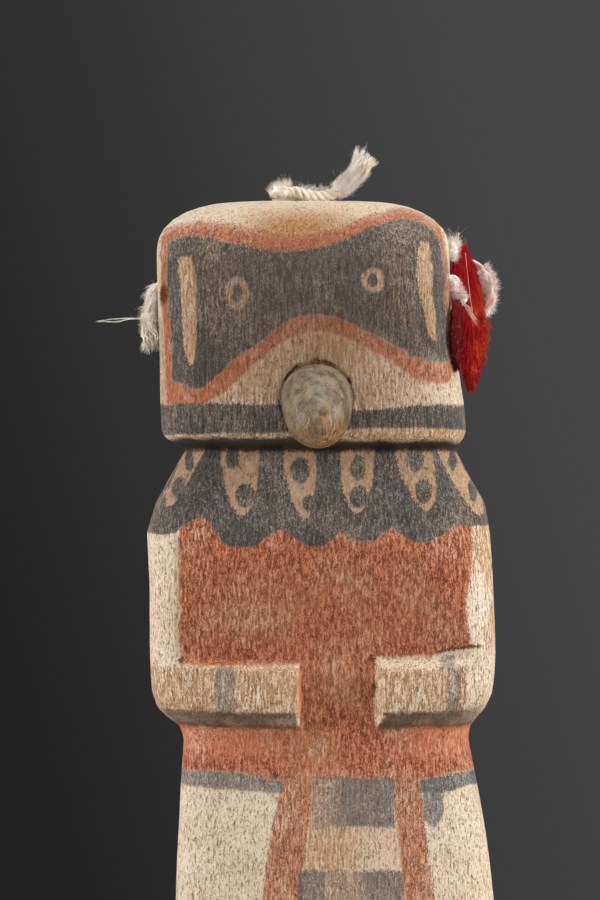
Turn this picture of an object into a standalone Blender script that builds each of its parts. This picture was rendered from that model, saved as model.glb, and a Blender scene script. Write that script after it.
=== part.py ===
# Carved wooden kachina doll with a seated beak, cotton cords and dyed feathers.
# Metres, +Z up. The figure faces -Y and stands on the soles at z = 0.
# Left and right are the viewer's.

import math

import bmesh
import bpy
import numpy as np
from mathutils import Matrix, Vector

# Overall size of the carving
HEIGHT = 0.200  # soles to crown
WIDTH = 0.0658  # across the shoulders
DEPTH = 0.038  # front to back of the head

# Beak and its seat in the face
BEAK_RADIUS = 0.0066
BEAK_REACH = 0.0132
BEAK_DROP = 0.0079
SEAT_DEPTH = 0.0008
SEAT_CLEARANCE = 0.0003  # behind the beak
SEAT_SIDE_CLEARANCE = 0.0006

# Cotton cords and the blind bores that hold them
CORD_DIAMETER = 0.0021
YARN_DIAMETER = 0.0024
BORE_DEPTH = 0.009
BORE_CLEARANCE = 0.0003
END_GAP = 0.0005

# Feathers
FEATHER_WIDTH = 0.0074
FEATHER_THICKNESS = 0.0013
INNER_FEATHER_WIDTH = 0.0046
INNER_FEATHER_THICKNESS = 0.0010
QUILL_RADIUS = 0.0005

# Legs and feet
LEG_SPACING = 0.026
FOOT_WIDTH = 0.0188

# The carving is drawn in millimetres on a doll of these sizes, and up(), across() and
# deep() turn a drawn millimetre into metres on a doll of the sizes above.
DRAWN_HEIGHT = 200.0
DRAWN_WIDTH = 65.8
DRAWN_DEPTH = 38.0

# The body's axis stands behind the origin, which is under the middle of figure and beak.
AXIS_Y = 0.0065

# How finely shapes are drawn
SMOOTH_ANGLE = 35
WELD_DISTANCE = 0.000001
CUT_OVERSHOOT = 0.004
BORE_SIDES = 24
ROUTE_SUBSTEPS = 16
CORD_MIN_POINTS = 8

# Sections of the figure: level, left, right, half depth, squareness of the outline
HEM_LEVEL = 32.4
NECK_LEVEL = 153.4
CROWN_WIDTH_LEVEL = 191.0
CROWN_DEPTH_LEVEL = 183.0
SECTIONS = (
    (HEM_LEVEL, -28.4, 33.0, 17.0, 2.8),  # hem of the kilt
    (60.0, -28.0, 33.0, 16.8, 2.9),
    (77.0, -27.4, 31.5, 16.2, 3.0),
    (92.3, -26.6, 28.9, 15.3, 3.0),
    (98.5, -26.2, 27.7, 14.9, 3.0),  # waist
    (101.0, -26.9, 28.0, 15.2, 3.2),
    (102.6, -29.0, 29.2, 16.4, 3.5),  # under the elbows
    (104.6, -31.1, 30.8, 17.7, 3.8),
    (107.5, -32.1, 32.1, 18.0, 4.0),
    (115.0, -32.5, 32.7, 18.0, 4.0),
    (128.0, -32.6, 32.3, 17.9, 4.0),
    (137.5, -33.1, 31.7, 17.5, 3.6),  # shoulders
    (143.0, -31.5, 30.8, 16.8, 3.3),
    (149.3, -28.1, 27.2, 15.2, 3.0),
    (NECK_LEVEL, -25.7, 25.2, 14.5, 3.0),
    (155.3, -29.7, 26.7, 18.5, 3.2),  # lower edge of the head
    (156.6, -30.4, 27.2, 19.0, 3.2),
    (172.0, -30.8, 25.3, 19.0, 3.2),
    (CROWN_DEPTH_LEVEL, -31.2, 24.3, 19.0, 3.2),
    (CROWN_WIDTH_LEVEL, -31.3, 24.1, 19.0, 3.1),
    (DRAWN_HEIGHT, -31.0, 24.2, 19.0, 2.7),  # crown
)
SECTION_STEP = 4.6
SECTION_POINTS = 60

# Dome of the crown: share of width and depth left flat on top, and how late it turns over
CROWN_FLAT_WIDTH = 0.46
CROWN_FLAT_DEPTH = 0.30
CROWN_TURN = 2.2
CROWN_STEPS = (0.22, 0.43, 0.62, 0.77, 0.88, 0.95, 1.0)

# One leg and its foot: level, half width as a share of the foot's, front, back
LEG_SECTIONS = (
    (0.0, 0.95, -19.4, 8.4),
    (0.9, 1.00, -20.0, 9.0),
    (4.4, 1.00, -19.6, 9.0),
    (6.6, 0.97, -17.5, 8.8),
    (8.0, 0.94, -13.8, 8.5),
    (9.6, 0.92, -10.2, 8.2),
    (12.0, 0.90, -8.4, 8.0),
    (22.0, 0.90, -7.6, 7.8),
    (HEM_LEVEL + 2.0, 0.92, -7.8, 7.9),
)
LEG_CENTRE = 2.2
LEG_SQUARENESS = 2.7
LEG_POINTS = 28

# Chest: its slanted face is cut back above the forearms, whose upper edge is bevelled
CHEST_TOP = (-18.1, 139.4)
CHEST_FOOT = (-14.7, 114.25)
FOREARM_EDGE = (-30.0, 104.6)
# Belly between the hands, cut back to the plane of the waist
BELLY_BACK = -14.8
BELLY_FRONT = -19.0
BELLY_LEFT = (-4.9, -4.2)  # at the front and at the back of the cut
BELLY_RIGHT = (12.2, 9.7)
BELLY_LEVELS = (100.2, 114.25)
# Grooves that set the arms off from the back
ARM_GROOVE_RADIUS = 2.2
ARM_GROOVE_ROUTE = ((26.5, 140.0), (29.0, 133.0), (30.0, 120.0), (30.2, 108.0), (29.0, 101.0))
ARM_GROOVE_BACK = 14.6
ARM_GROOVE_POINTS = 14

# Beak: place of its seat, fall of its line, bluntness of its tip and how much its root narrows
BEAK_CENTRE = (-1.06, 162.75)
BEAK_FALL = 1.35
BEAK_BLUNTNESS = 2.6
BEAK_ROOT_SHARE = 0.07
BEAK_ROOT_LENGTH = 0.2
BEAK_LEAN_SHARE = 0.75
BEAK_SQUARENESS = 2.15
BEAK_STEPS = (0.0, 0.06, 0.14, 0.24, 0.36, 0.48, 0.60, 0.71, 0.81, 0.89, 0.95, 0.985)
BEAK_POINTS = 24

# Mouths of the bores: level and distance in front of the body's axis
CROWN_BORE_X = -8.0
CROWN_BORE_LEAN = 0.5
LEFT_BORE = (183.5, 3.0)
LEFT_BORE_FALL = 0.6
RIGHT_BORE = (186.0, 5.0)
# Where a cord's line is drawn inside its bore, as shares of the depth
HELD_SHARES = (0.5, 0.2)

# Routes of the cords from the mouth of the bore, in metres, first out and then freely
CROWN_CORD_ROUTE = (
    (0.0006, 0.0, 0.0011),
    (0.0022, -0.0002, 0.0027),
    (0.0046, -0.0003, 0.0029),
    (0.0068, -0.0002, 0.0018),
    (0.0090, 0.0, 0.0015),
    (0.0112, 0.0001, 0.0025),
    (0.0140, 0.0001, 0.0050),
    (0.0176, 0.0, 0.0090),
)
LEFT_YARN_ROUTE = (
    (-0.0011, -0.0001, -0.0008),
    (-0.0022, -0.0003, -0.0028),
    (-0.0024, -0.0005, -0.0058),
    (-0.0019, -0.0006, -0.0088),
    (-0.0013, -0.0006, -0.0118),
)
# The cord that is tied round the outer feather: place at the feather's inner edge, and the
# share of the feather's width that the point lies further out along it
RIGHT_CORD_ROUTE = (
    (0.0013, -0.0001, -0.0003, 0.0),
    (0.00108, -0.00061, -0.0026, 0.25),
    (0.00102, -0.00067, -0.0047, 0.5),
    (0.00135, -0.00078, -0.0068, 0.75),
    (0.00214, 0.00056, -0.0069, 1.0),
    (0.00314, 0.00276, -0.0039, 1.0),
    (0.00174, 0.00406, 0.0003, 1.0),
    (0.00135, 0.00492, 0.0024, 0.75),
    (0.00087, 0.00508, 0.0042, 0.5),
    (0.00078, 0.00494, 0.0064, 0.25),
    (-0.00022, 0.00434, 0.0090, 0.25),
)

# Inner edges of the feathers, top to tip, in metres: distance from the side of the head,
# then back and up from the mouth of the right bore
OUTER_EDGE = (
    (-0.00061, 0.00168, 0.0063),
    (-0.00035, 0.00168, 0.0026),
    (0.0002, 0.00168, -0.0044),
    (0.00089, 0.00178, -0.0101),
    (0.00045, 0.00178, -0.0158),
    (-0.00081, 0.00158, -0.0232),
)
INNER_EDGE = (
    (0.00094, -0.00428, -0.0034),
    (0.00088, -0.00608, -0.0065),
    (0.00094, -0.00728, -0.012),
    (0.00072, -0.00758, -0.018),
)
OUTER_TURN = math.radians(35)
INNER_TURN = math.radians(55)
QUILL_SHARE = 0.04
VANE_FULLNESS = 0.8
VANE_BLUNTNESS = 0.7
SPINE_STEPS = 14
VANE_POINTS = 12

# Finishes: colour out of 255, roughness
BARE_WOOD = ((200, 160, 125), 0.75)
BEAK_WOOD = ((150, 138, 118), 0.55)
COTTON = ((232, 222, 200), 0.95)
RED_DYE = ((185, 25, 20), 0.8)
DARK_RED_DYE = ((120, 16, 16), 0.85)


def up(level):
    return level * HEIGHT / DRAWN_HEIGHT


def across(distance):
    return distance * WIDTH / DRAWN_WIDTH


def deep(distance):
    return distance * DEPTH / DRAWN_DEPTH


def clear_scene():
    for thing in list(bpy.data.objects):
        bpy.data.objects.remove(thing, do_unlink=True)


def collection(name):
    group = bpy.data.collections.new(name)
    bpy.context.scene.collection.children.link(group)
    return group


def linear(value):
    # A colour value out of 255 as the linear value that shaders take
    value /= 255
    return value / 12.92 if value <= 0.04045 else ((value + 0.055) / 1.055) ** 2.4


def finish_material(name, look):
    colour, roughness = look
    material = bpy.data.materials.new(name)
    material.use_nodes = True
    shader = material.node_tree.nodes["Principled BSDF"]
    shader.inputs["Base Color"].default_value = (*[linear(value) for value in colour], 1.0)
    shader.inputs["Roughness"].default_value = roughness
    shader.inputs["Metallic"].default_value = 0.0
    return material


def add_object(name, mesh, group):
    thing = bpy.data.objects.new(name, mesh)
    group.objects.link(thing)
    return thing


def smooth_table(levels, values):
    # A smooth function through the values that never overshoots them
    levels, values = np.array(levels), np.array(values)
    gap = np.diff(levels)
    slope = np.diff(values) / gap
    tangent = np.concatenate(([slope[0]], np.zeros(len(slope) - 1), [slope[-1]]))
    for i in range(1, len(slope)):
        if slope[i - 1] * slope[i] > 0:
            before, after = 2 * gap[i] + gap[i - 1], gap[i] + 2 * gap[i - 1]
            tangent[i] = (before + after) / (before / slope[i - 1] + after / slope[i])

    def value(level):
        i = min(max(int(np.searchsorted(levels, level)) - 1, 0), len(gap) - 1)
        t = (level - levels[i]) / gap[i]
        start = (1 + 2 * t) * values[i] + t * gap[i] * tangent[i]
        end = (3 - 2 * t) * values[i + 1] + (t - 1) * gap[i] * tangent[i + 1]
        return (1 - t) ** 2 * start + t * t * end

    return value


section_levels = [row[0] for row in SECTIONS]
left_at, right_at, half_depth_at, squareness_at = (
    smooth_table(section_levels, [row[column] for row in SECTIONS]) for column in range(1, 5)
)


def crown_share(level, start, flat):
    t = min(max((level - start) / (DRAWN_HEIGHT - start), 0.0), 1.0)
    return flat + (1 - flat) * math.sqrt(1 - t**CROWN_TURN)


def section(level):
    # Centre, half width, half depth and squareness of the figure, in drawn millimetres
    left, right = left_at(level), right_at(level)
    half_width = (right - left) / 2 * crown_share(level, CROWN_WIDTH_LEVEL, CROWN_FLAT_WIDTH)
    half_depth = half_depth_at(level) * crown_share(level, CROWN_DEPTH_LEVEL, CROWN_FLAT_DEPTH)
    return (left + right) / 2, half_width, half_depth, squareness_at(level)


def outline(count, half_width, half_depth, squareness):
    # A rounded rectangle, anticlockwise from above
    points = []
    for i in range(count):
        angle = 2 * math.pi * (i + 0.5) / count
        c, s = math.cos(angle), math.sin(angle)
        x = math.copysign(abs(c) ** (2 / squareness), c) * half_width
        y = math.copysign(abs(s) ** (2 / squareness), s) * half_depth
        points.append((x, y))
    return points


def side_point(side, level, forward):
    # Point on the side of the figure, in metres; side is -1 for left and 1 for right
    centre, half_width, half_depth, squareness = section(level)
    share = (1 - abs(forward / half_depth) ** squareness) ** (1 / squareness)
    return Vector((across(centre + side * half_width * share), AXIS_Y - deep(forward), up(level)))


def beside_head(mouth, edge_point):
    # A point that keeps its distance from the side of the head, whatever the head's size
    distance, back, rise = edge_point
    level = (mouth.z + rise) * DRAWN_HEIGHT / HEIGHT
    forward = (AXIS_Y - mouth.y - back) * DRAWN_DEPTH / DEPTH
    return side_point(1, level, forward) + Vector((distance, 0.0, 0.0))


def loft(name, rings):
    # A closed solid through rings that all have the same number of points
    shape = bmesh.new()
    rows = [[shape.verts.new(point) for point in ring] for ring in rings]
    for low, high in zip(rows, rows[1:]):
        for i in range(len(low)):
            j = (i + 1) % len(low)
            shape.faces.new((low[i], low[j], high[j], high[i]))
    shape.faces.new(rows[0][::-1])
    shape.faces.new(rows[-1])
    bmesh.ops.recalc_face_normals(shape, faces=shape.faces)
    mesh = bpy.data.meshes.new(name)
    shape.to_mesh(mesh)
    shape.free()
    return mesh


def smooth_route(points, count):
    # Evenly spaced points on a smooth curve through the given ones
    knots = [Vector(point) for point in points]
    knots = [2 * knots[0] - knots[1]] + knots + [2 * knots[-1] - knots[-2]]
    fine = []
    for before, start, end, after in zip(knots, knots[1:], knots[2:], knots[3:]):
        for step in range(ROUTE_SUBSTEPS):
            t = step / ROUTE_SUBSTEPS
            fine.append(
                0.5
                * (
                    2 * start
                    + (end - before) * t
                    + (2 * before - 5 * start + 4 * end - after) * t**2
                    + (3 * start - before - 3 * end + after) * t**3
                )
            )
    fine.append(knots[-2])
    travelled = np.concatenate(([0.0], np.cumsum([(b - a).length for a, b in zip(fine, fine[1:])])))
    wanted = np.linspace(0.0, travelled[-1], count)
    columns = [np.interp(wanted, travelled, [point[axis] for point in fine]) for axis in range(3)]
    return [Vector(point) for point in zip(*columns)]


def tube(name, points, radii, group, sides_level=2):
    # A solid tube with filled caps, one radius for each point
    curve = bpy.data.curves.new(name + "_path", "CURVE")
    curve.dimensions = "3D"
    curve.bevel_depth = 1.0
    curve.bevel_resolution = sides_level
    curve.use_fill_caps = True
    spline = curve.splines.new("POLY")
    spline.points.add(len(points) - 1)
    for place, point, radius in zip(spline.points, points, radii):
        place.co = (*point, 1.0)
        place.radius = radius
    return solid_from_curve(name, curve, Matrix.Identity(4), group)


def solid_from_curve(name, curve, place, group):
    drawn = bpy.data.objects.new(name + "_drawn", curve)
    group.objects.link(drawn)
    drawn.matrix_world = place
    bpy.context.view_layer.update()
    evaluated = drawn.evaluated_get(bpy.context.evaluated_depsgraph_get())
    mesh = bpy.data.meshes.new_from_object(evaluated)
    mesh.name = name
    shape = bmesh.new()
    shape.from_mesh(mesh)
    bmesh.ops.remove_doubles(shape, verts=shape.verts, dist=WELD_DISTANCE)
    bmesh.ops.recalc_face_normals(shape, faces=shape.faces)
    shape.to_mesh(mesh)
    shape.free()
    solid = add_object(name, mesh, group)
    solid.matrix_world = drawn.matrix_world.copy()
    bpy.data.objects.remove(drawn, do_unlink=True)
    return solid


def extruded(name, points, thickness, place, group):
    # A flat outline given a thickness, centred on its own plane
    curve = bpy.data.curves.new(name + "_outline", "CURVE")
    curve.dimensions = "2D"
    curve.fill_mode = "BOTH"
    curve.extrude = thickness / 2
    spline = curve.splines.new("POLY")
    spline.points.add(len(points) - 1)
    spline.use_cyclic_u = True
    for corner, point in zip(spline.points, points):
        corner.co = (*point, 0.0, 1.0)
    return solid_from_curve(name, curve, place, group)


def drill(name, mouth, inward, radius, depth, group):
    # A round cutter from just outside the mouth to the bottom of the hole
    inward = Vector(inward).normalized()
    shape = bmesh.new()
    length = depth + CUT_OVERSHOOT
    bmesh.ops.create_cone(
        shape, cap_ends=True, segments=BORE_SIDES, radius1=radius, radius2=radius, depth=length
    )
    mesh = bpy.data.meshes.new(name)
    shape.to_mesh(mesh)
    shape.free()
    cutter = add_object(name, mesh, group)
    cutter.location = Vector(mouth) + inward * (depth - CUT_OVERSHOOT) / 2
    cutter.rotation_euler = inward.to_track_quat("Z", "Y").to_euler()
    return cutter


def hide_tool(tool):
    tool.hide_render = True
    tool.display_type = "WIRE"


def combine(target, tool, operation):
    hide_tool(tool)
    change = target.modifiers.new(tool.name, "BOOLEAN")
    change.operation = operation
    change.object = tool
    change.solver = "EXACT"


def shade(thing):
    thing.data.shade_smooth()
    thing.data.set_sharp_from_angle(angle=math.radians(SMOOTH_ANGLE))


def body_levels():
    levels = []
    for low, high in zip(section_levels, section_levels[1:-1]):
        steps = max(1, round((high - low) / SECTION_STEP))
        levels += [low + (high - low) * step / steps for step in range(steps)]
    crown_height = DRAWN_HEIGHT - CROWN_WIDTH_LEVEL
    return levels + [CROWN_WIDTH_LEVEL] + [CROWN_WIDTH_LEVEL + crown_height * step for step in CROWN_STEPS]


def make_body(group):
    rings = []
    for level in body_levels():
        centre, half_width, half_depth, squareness = section(level)
        rings.append(
            [
                (across(centre + x), AXIS_Y + deep(y), up(level))
                for x, y in outline(SECTION_POINTS, half_width, half_depth, squareness)
            ]
        )
    return add_object("carved_figure", loft("carved_figure", rings), group)


def make_leg(name, side, group):
    rings = []
    for level, share, front, back in LEG_SECTIONS:
        centre_x = across(LEG_CENTRE) + side * LEG_SPACING / 2
        centre_y = AXIS_Y + deep((front + back) / 2)
        points = outline(LEG_POINTS, FOOT_WIDTH / 2 * share, deep((back - front) / 2), LEG_SQUARENESS)
        rings.append([(centre_x + x, centre_y + y, up(level)) for x, y in points])
    return add_object(name, loft(name, rings), group)


def make_chest_cutter(group):
    points = [CHEST_TOP, CHEST_FOOT, FOREARM_EDGE, (FOREARM_EDGE[0], CHEST_TOP[1])]
    side_on = Matrix(((0, 0, 1, 0), (1, 0, 0, AXIS_Y), (0, 1, 0, 0), (0, 0, 0, 1)))
    drawn = [(deep(y), up(level)) for y, level in points]
    return extruded("chest_cutter", drawn, 2 * WIDTH, side_on, group)


def make_belly_cutter(group):
    outside = 2 * BELLY_FRONT
    points = [
        (BELLY_LEFT[1], BELLY_BACK),
        (BELLY_LEFT[0], BELLY_FRONT),
        (BELLY_LEFT[0], outside),
        (BELLY_RIGHT[0], outside),
        (BELLY_RIGHT[0], BELLY_FRONT),
        (BELLY_RIGHT[1], BELLY_BACK),
    ]
    low, high = BELLY_LEVELS
    place = Matrix.Translation((0.0, AXIS_Y, up((low + high) / 2)))
    drawn = [(across(x), deep(y)) for x, y in points]
    return extruded("belly_cutter", drawn, up(high - low), place, group)


def make_arm_groove(name, side, group):
    route = [
        (across(side * x), AXIS_Y + deep(ARM_GROOVE_BACK), up(level)) for x, level in ARM_GROOVE_ROUTE
    ]
    points = smooth_route(route, ARM_GROOVE_POINTS)
    return tube(name, points, [across(ARM_GROOVE_RADIUS)] * len(points), group, sides_level=3)


def make_beak(group):
    # Rings start flat against the seat and lean over with the fall of the beak
    face = AXIS_Y - deep(section(BEAK_CENTRE[1])[2])
    seat = Vector((across(BEAK_CENTRE[0]), face, up(BEAK_CENTRE[1])))
    back = SEAT_DEPTH - SEAT_CLEARANCE
    reach = BEAK_REACH + back
    rings = []
    for t in BEAK_STEPS:
        centre = seat + Vector((0.0, back - reach * t, -BEAK_DROP * t**BEAK_FALL))
        slope = math.atan(BEAK_DROP * BEAK_FALL * t ** (BEAK_FALL - 1) / reach)
        lean = slope * min(1.0, t / BEAK_LEAN_SHARE)
        rise = Vector((0.0, -math.sin(lean), math.cos(lean)))
        radius = beak_radius(t)
        ring = outline(BEAK_POINTS, radius, radius, BEAK_SQUARENESS)
        rings.append([centre + Vector((x, 0.0, 0.0)) + rise * z for x, z in ring])
    return add_object("beak", loft("beak", rings), group), seat


def beak_radius(t):
    root = 1 - BEAK_ROOT_SHARE * max(0.0, 1 - t / BEAK_ROOT_LENGTH) ** 2
    return BEAK_RADIUS * root * math.sqrt(1 - t**BEAK_BLUNTNESS)


def bore_route(mouth, inward, free_route):
    # Straight along the bore, then out of its mouth
    inward = Vector(inward).normalized()
    depths = [BORE_DEPTH - END_GAP] + [BORE_DEPTH * share for share in HELD_SHARES]
    return [mouth + inward * depth for depth in depths] + [mouth + Vector(step) for step in free_route]


def make_cord(name, mouth, inward, free_route, diameter, group):
    route = bore_route(mouth, inward, free_route)
    length = sum((Vector(b) - Vector(a)).length for a, b in zip(route, route[1:]))
    points = smooth_route(route, max(CORD_MIN_POINTS, round(length / diameter) + 1))
    return tube(name, points, [diameter / 2] * len(points), group)


def across_feather(turn):
    return Vector((math.cos(turn), math.sin(turn), 0.0))


def make_feather(name, edge, mouth, turn, width, thickness, group):
    middle = across_feather(turn) * width / 2
    points = smooth_route([beside_head(mouth, point) + middle for point in edge], SPINE_STEPS)
    rings = []
    for i, point in enumerate(points):
        t = i / (SPINE_STEPS - 1)
        vane = min(max((t - QUILL_SHARE) / (1 - QUILL_SHARE), 0.0), 1.0)
        spread = max(math.sin(math.pi * vane**VANE_FULLNESS), 0.0) ** VANE_BLUNTNESS
        half_width = QUILL_RADIUS + (width / 2 - QUILL_RADIUS) * spread
        half_thickness = QUILL_RADIUS + (thickness / 2 - QUILL_RADIUS) * spread
        if i == SPINE_STEPS - 1:
            half_width, half_thickness = QUILL_RADIUS, QUILL_RADIUS / 2
        wide = across_feather(turn)
        along = (points[min(i + 1, len(points) - 1)] - points[max(i - 1, 0)]).normalized()
        wide = (wide - along * wide.dot(along)).normalized()
        flat = along.cross(wide)
        angles = [2 * math.pi * k / VANE_POINTS for k in range(VANE_POINTS)]
        rings.append(
            [point + wide * half_width * math.cos(a) + flat * half_thickness * math.sin(a) for a in angles]
        )
    return add_object(name, loft(name, rings), group)


def build():
    clear_scene()
    doll = collection("kachina_doll")
    tools = collection("cutters")

    figure = make_body(doll)
    for name, side in (("left_leg_shape", -1), ("right_leg_shape", 1)):
        combine(figure, make_leg(name, side, tools), "UNION")
    combine(figure, make_chest_cutter(tools), "DIFFERENCE")
    combine(figure, make_belly_cutter(tools), "DIFFERENCE")
    for name, side in (("left_arm_groove", -1), ("right_arm_groove", 1)):
        combine(figure, make_arm_groove(name, side, tools), "DIFFERENCE")

    beak, seat = make_beak(doll)
    seat_radius = beak_radius(0.0) + SEAT_SIDE_CLEARANCE
    combine(figure, drill("beak_seat", seat, (0, 1, 0), seat_radius, SEAT_DEPTH, tools), "DIFFERENCE")

    crown_mouth = Vector((across(CROWN_BORE_X), AXIS_Y, up(DRAWN_HEIGHT)))
    left_mouth = side_point(-1, *LEFT_BORE)
    right_mouth = side_point(1, *RIGHT_BORE)
    crown_inward = (-CROWN_BORE_LEAN, 0.0, -1.0)
    left_inward = (1.0, 0.0, LEFT_BORE_FALL)
    right_inward = (-1.0, 0.0, 0.0)
    bores = (
        ("crown_bore", crown_mouth, crown_inward, CORD_DIAMETER),
        ("left_bore", left_mouth, left_inward, YARN_DIAMETER),
        ("right_bore", right_mouth, right_inward, CORD_DIAMETER),
    )
    for name, mouth, inward, diameter in bores:
        cutter = drill(name, mouth, inward, diameter / 2 + BORE_CLEARANCE, BORE_DEPTH, tools)
        combine(figure, cutter, "DIFFERENCE")

    crown_cord = make_cord("crown_cord", crown_mouth, crown_inward, CROWN_CORD_ROUTE, CORD_DIAMETER, doll)
    yarn = make_cord("left_ear_yarn", left_mouth, left_inward, LEFT_YARN_ROUTE, YARN_DIAMETER, doll)
    vane = across_feather(OUTER_TURN) * FEATHER_WIDTH
    round_feather = [Vector(step) + vane * share for *step, share in RIGHT_CORD_ROUTE]
    ear_cord = make_cord("right_ear_cord", right_mouth, right_inward, round_feather, CORD_DIAMETER, doll)
    outer = make_feather(
        "red_feather_outer", OUTER_EDGE, right_mouth, OUTER_TURN, FEATHER_WIDTH, FEATHER_THICKNESS, doll
    )
    inner = make_feather(
        "red_feather_inner",
        INNER_EDGE,
        right_mouth,
        INNER_TURN,
        INNER_FEATHER_WIDTH,
        INNER_FEATHER_THICKNESS,
        doll,
    )

    cotton = finish_material("undyed_cotton", COTTON)
    finishes = (
        (figure, finish_material("carved_wood", BARE_WOOD)),
        (beak, finish_material("beak_wood", BEAK_WOOD)),
        (crown_cord, cotton),
        (yarn, cotton),
        (ear_cord, cotton),
        (outer, finish_material("red_feather", RED_DYE)),
        (inner, finish_material("dark_red_feather", DARK_RED_DYE)),
    )
    stand = bpy.data.objects.new("kachina_doll", None)
    doll.objects.link(stand)
    for piece, material in finishes:
        piece.data.materials.append(material)
        piece.parent = stand
        shade(piece)


build()
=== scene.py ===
import math

import bmesh
import bpy
import numpy as np
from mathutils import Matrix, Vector
from mathutils.noise import noise as noiseAt


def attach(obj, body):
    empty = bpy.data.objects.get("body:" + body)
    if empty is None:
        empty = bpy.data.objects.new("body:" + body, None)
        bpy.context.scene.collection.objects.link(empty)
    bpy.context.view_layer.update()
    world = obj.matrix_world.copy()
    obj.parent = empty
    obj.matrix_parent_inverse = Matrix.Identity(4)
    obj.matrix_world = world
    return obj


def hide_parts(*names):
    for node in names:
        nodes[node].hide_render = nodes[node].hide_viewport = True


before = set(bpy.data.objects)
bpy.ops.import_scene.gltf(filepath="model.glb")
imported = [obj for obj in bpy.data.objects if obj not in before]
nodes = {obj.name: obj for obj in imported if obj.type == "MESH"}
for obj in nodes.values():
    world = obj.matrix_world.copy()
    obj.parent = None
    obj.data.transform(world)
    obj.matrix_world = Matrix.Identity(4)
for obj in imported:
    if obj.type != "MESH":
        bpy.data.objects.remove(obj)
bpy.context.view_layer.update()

# Where the photograph's eye stands, and how large one of its pixels is at the doll's middle
eye = {
    "distance": 0.600,
    "side": -0.00418,
    "level": 0.15306,
    "pixel": 0.00019,
    "tall": 900,
    "film": 36.0,
    "axisY": 0.0065,
}


# Small helpers for node trees. A new node goes into the tree that was started last.
current = {}


def fill(socket, value):
    if isinstance(value, bpy.types.NodeSocket):
        current["tree"].links.new(value, socket)
    else:
        socket.default_value = value


def put(kind, inputs=None, **settings):
    made = current["tree"].nodes.new(kind)
    for name, value in settings.items():
        setattr(made, name, value)
    for key, value in (inputs or {}).items():
        fill(made.inputs[key], value)
    return made


def result(kind, inputs=None, **settings):
    return put(kind, inputs, **settings).outputs[0]


def maths(operation, *terms):
    return result("ShaderNodeMath", dict(enumerate(terms)), operation=operation)


def chained(operation, first, *others):
    for other in others:
        first = maths(operation, first, other)
    return first


def plus(*terms):
    return chained("ADD", *terms)


def times(*terms):
    return chained("MULTIPLY", *terms)


def either(*masks):
    return chained("MAXIMUM", *masks)


def minus(first, second):
    return maths("SUBTRACT", first, second)


def outside(mask):
    return minus(1.0, mask)


def fitted(value, scale, shift):
    return maths("MULTIPLY_ADD", value, scale, shift)


def vectors(operation, *terms):
    made = put("ShaderNodeVectorMath", dict(enumerate(terms)), operation=operation)
    return made.outputs["Value" if operation == "DOT_PRODUCT" else 0]


def scaled(vector, amount):
    return result("ShaderNodeVectorMath", {"Vector": vector, "Scale": amount}, operation="SCALE")


def squashed(vector, upright):
    # Makes a pattern longer along the grain
    return vectors("MULTIPLY", vector, (1.0, 1.0, upright))


def separate(vector):
    split = put("ShaderNodeSeparateXYZ", {"Vector": vector}).outputs
    return split["X"], split["Y"], split["Z"]


def ease(value, low, high):
    inputs = {"Value": value, "From Min": low, "From Max": high}
    return put("ShaderNodeMapRange", inputs, interpolation_type="SMOOTHSTEP").outputs["Result"]


def noiseNode(vector, scale, detail=2.0, roughness=0.5, distortion=0.0):
    inputs = {"Vector": vector, "Scale": scale, "Detail": detail, "Roughness": roughness, "Distortion": distortion}
    return put("ShaderNodeTexNoise", inputs).outputs


def noise(*settings):
    return noiseNode(*settings)[0]


def noiseShift(vector, scale, detail, amount):
    # A step in a random direction that changes smoothly with place
    return scaled(vectors("SUBTRACT", noiseNode(vector, scale, detail)["Color"], (0.5, 0.5, 0.5)), amount)


def mixed(amount, first, second):
    return put("ShaderNodeMix", {0: amount, 6: first, 7: second}, data_type="RGBA").outputs[2]


def mixedValue(amount, first, second):
    return result("ShaderNodeMix", {0: amount, 2: first, 3: second}, data_type="FLOAT")


def shade(red, green, blue):
    # A colour seen as these 0 to 255 values, as the linear colour that shaders take
    seen = [value / 255 for value in (red, green, blue)]
    return (*[v / 12.92 if v <= 0.04045 else ((v + 0.055) / 1.055) ** 2.4 for v in seen], 1.0)


def newMaterial(name):
    material = bpy.data.materials.new(name)
    material.use_nodes = True
    current["tree"] = material.node_tree
    return material, current["tree"].nodes["Principled BSDF"].inputs


def finishSurface(surface, colour, roughness, specular=0.5, height=None, strength=1.0, distance=0.001):
    fill(surface["Base Color"], colour)
    fill(surface["Roughness"], roughness)
    surface["Specular IOR Level"].default_value = specular
    if height:
        bump = put("ShaderNodeBump", {"Height": height, "Strength": strength, "Distance": distance})
        fill(surface["Normal"], bump.outputs[0])


def objectPlace():
    return put("ShaderNodeTexCoord").outputs["Object"]


def startTree(name, kind, inputs, outputs):
    # Sockets are given by kind, each with its titles
    tree = current["tree"] = bpy.data.node_groups.new(name, kind)
    for way, sockets in (("INPUT", inputs), ("OUTPUT", outputs)):
        for socketKind, titles in sockets.items():
            for title in titles:
                tree.interface.new_socket(title, in_out=way, socket_type="NodeSocket" + socketKind)
    return tree, put("NodeGroupInput").outputs, put("NodeGroupOutput").inputs


def startGeometry(name, **inputs):
    shape = {"Geometry": ["Geometry"]}
    return startTree(name, "GeometryNodeTree", shape | inputs | {"Material": ["Material"]}, shape)


def placed(group, inputs):
    return put("ShaderNodeGroup", inputs, node_tree=group).outputs


def addObject(name, data):
    made = bpy.data.objects.new(name, data)
    bpy.context.scene.collection.objects.link(made)
    return made


def addMesh(name, shape, material=None):
    # A bmesh as an object; the bmesh is let go
    mesh = bpy.data.meshes.new(name)
    shape.to_mesh(mesh)
    shape.free()
    if material:
        mesh.shade_smooth()
        mesh.materials.append(material)
    return addObject(name, mesh)


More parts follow.
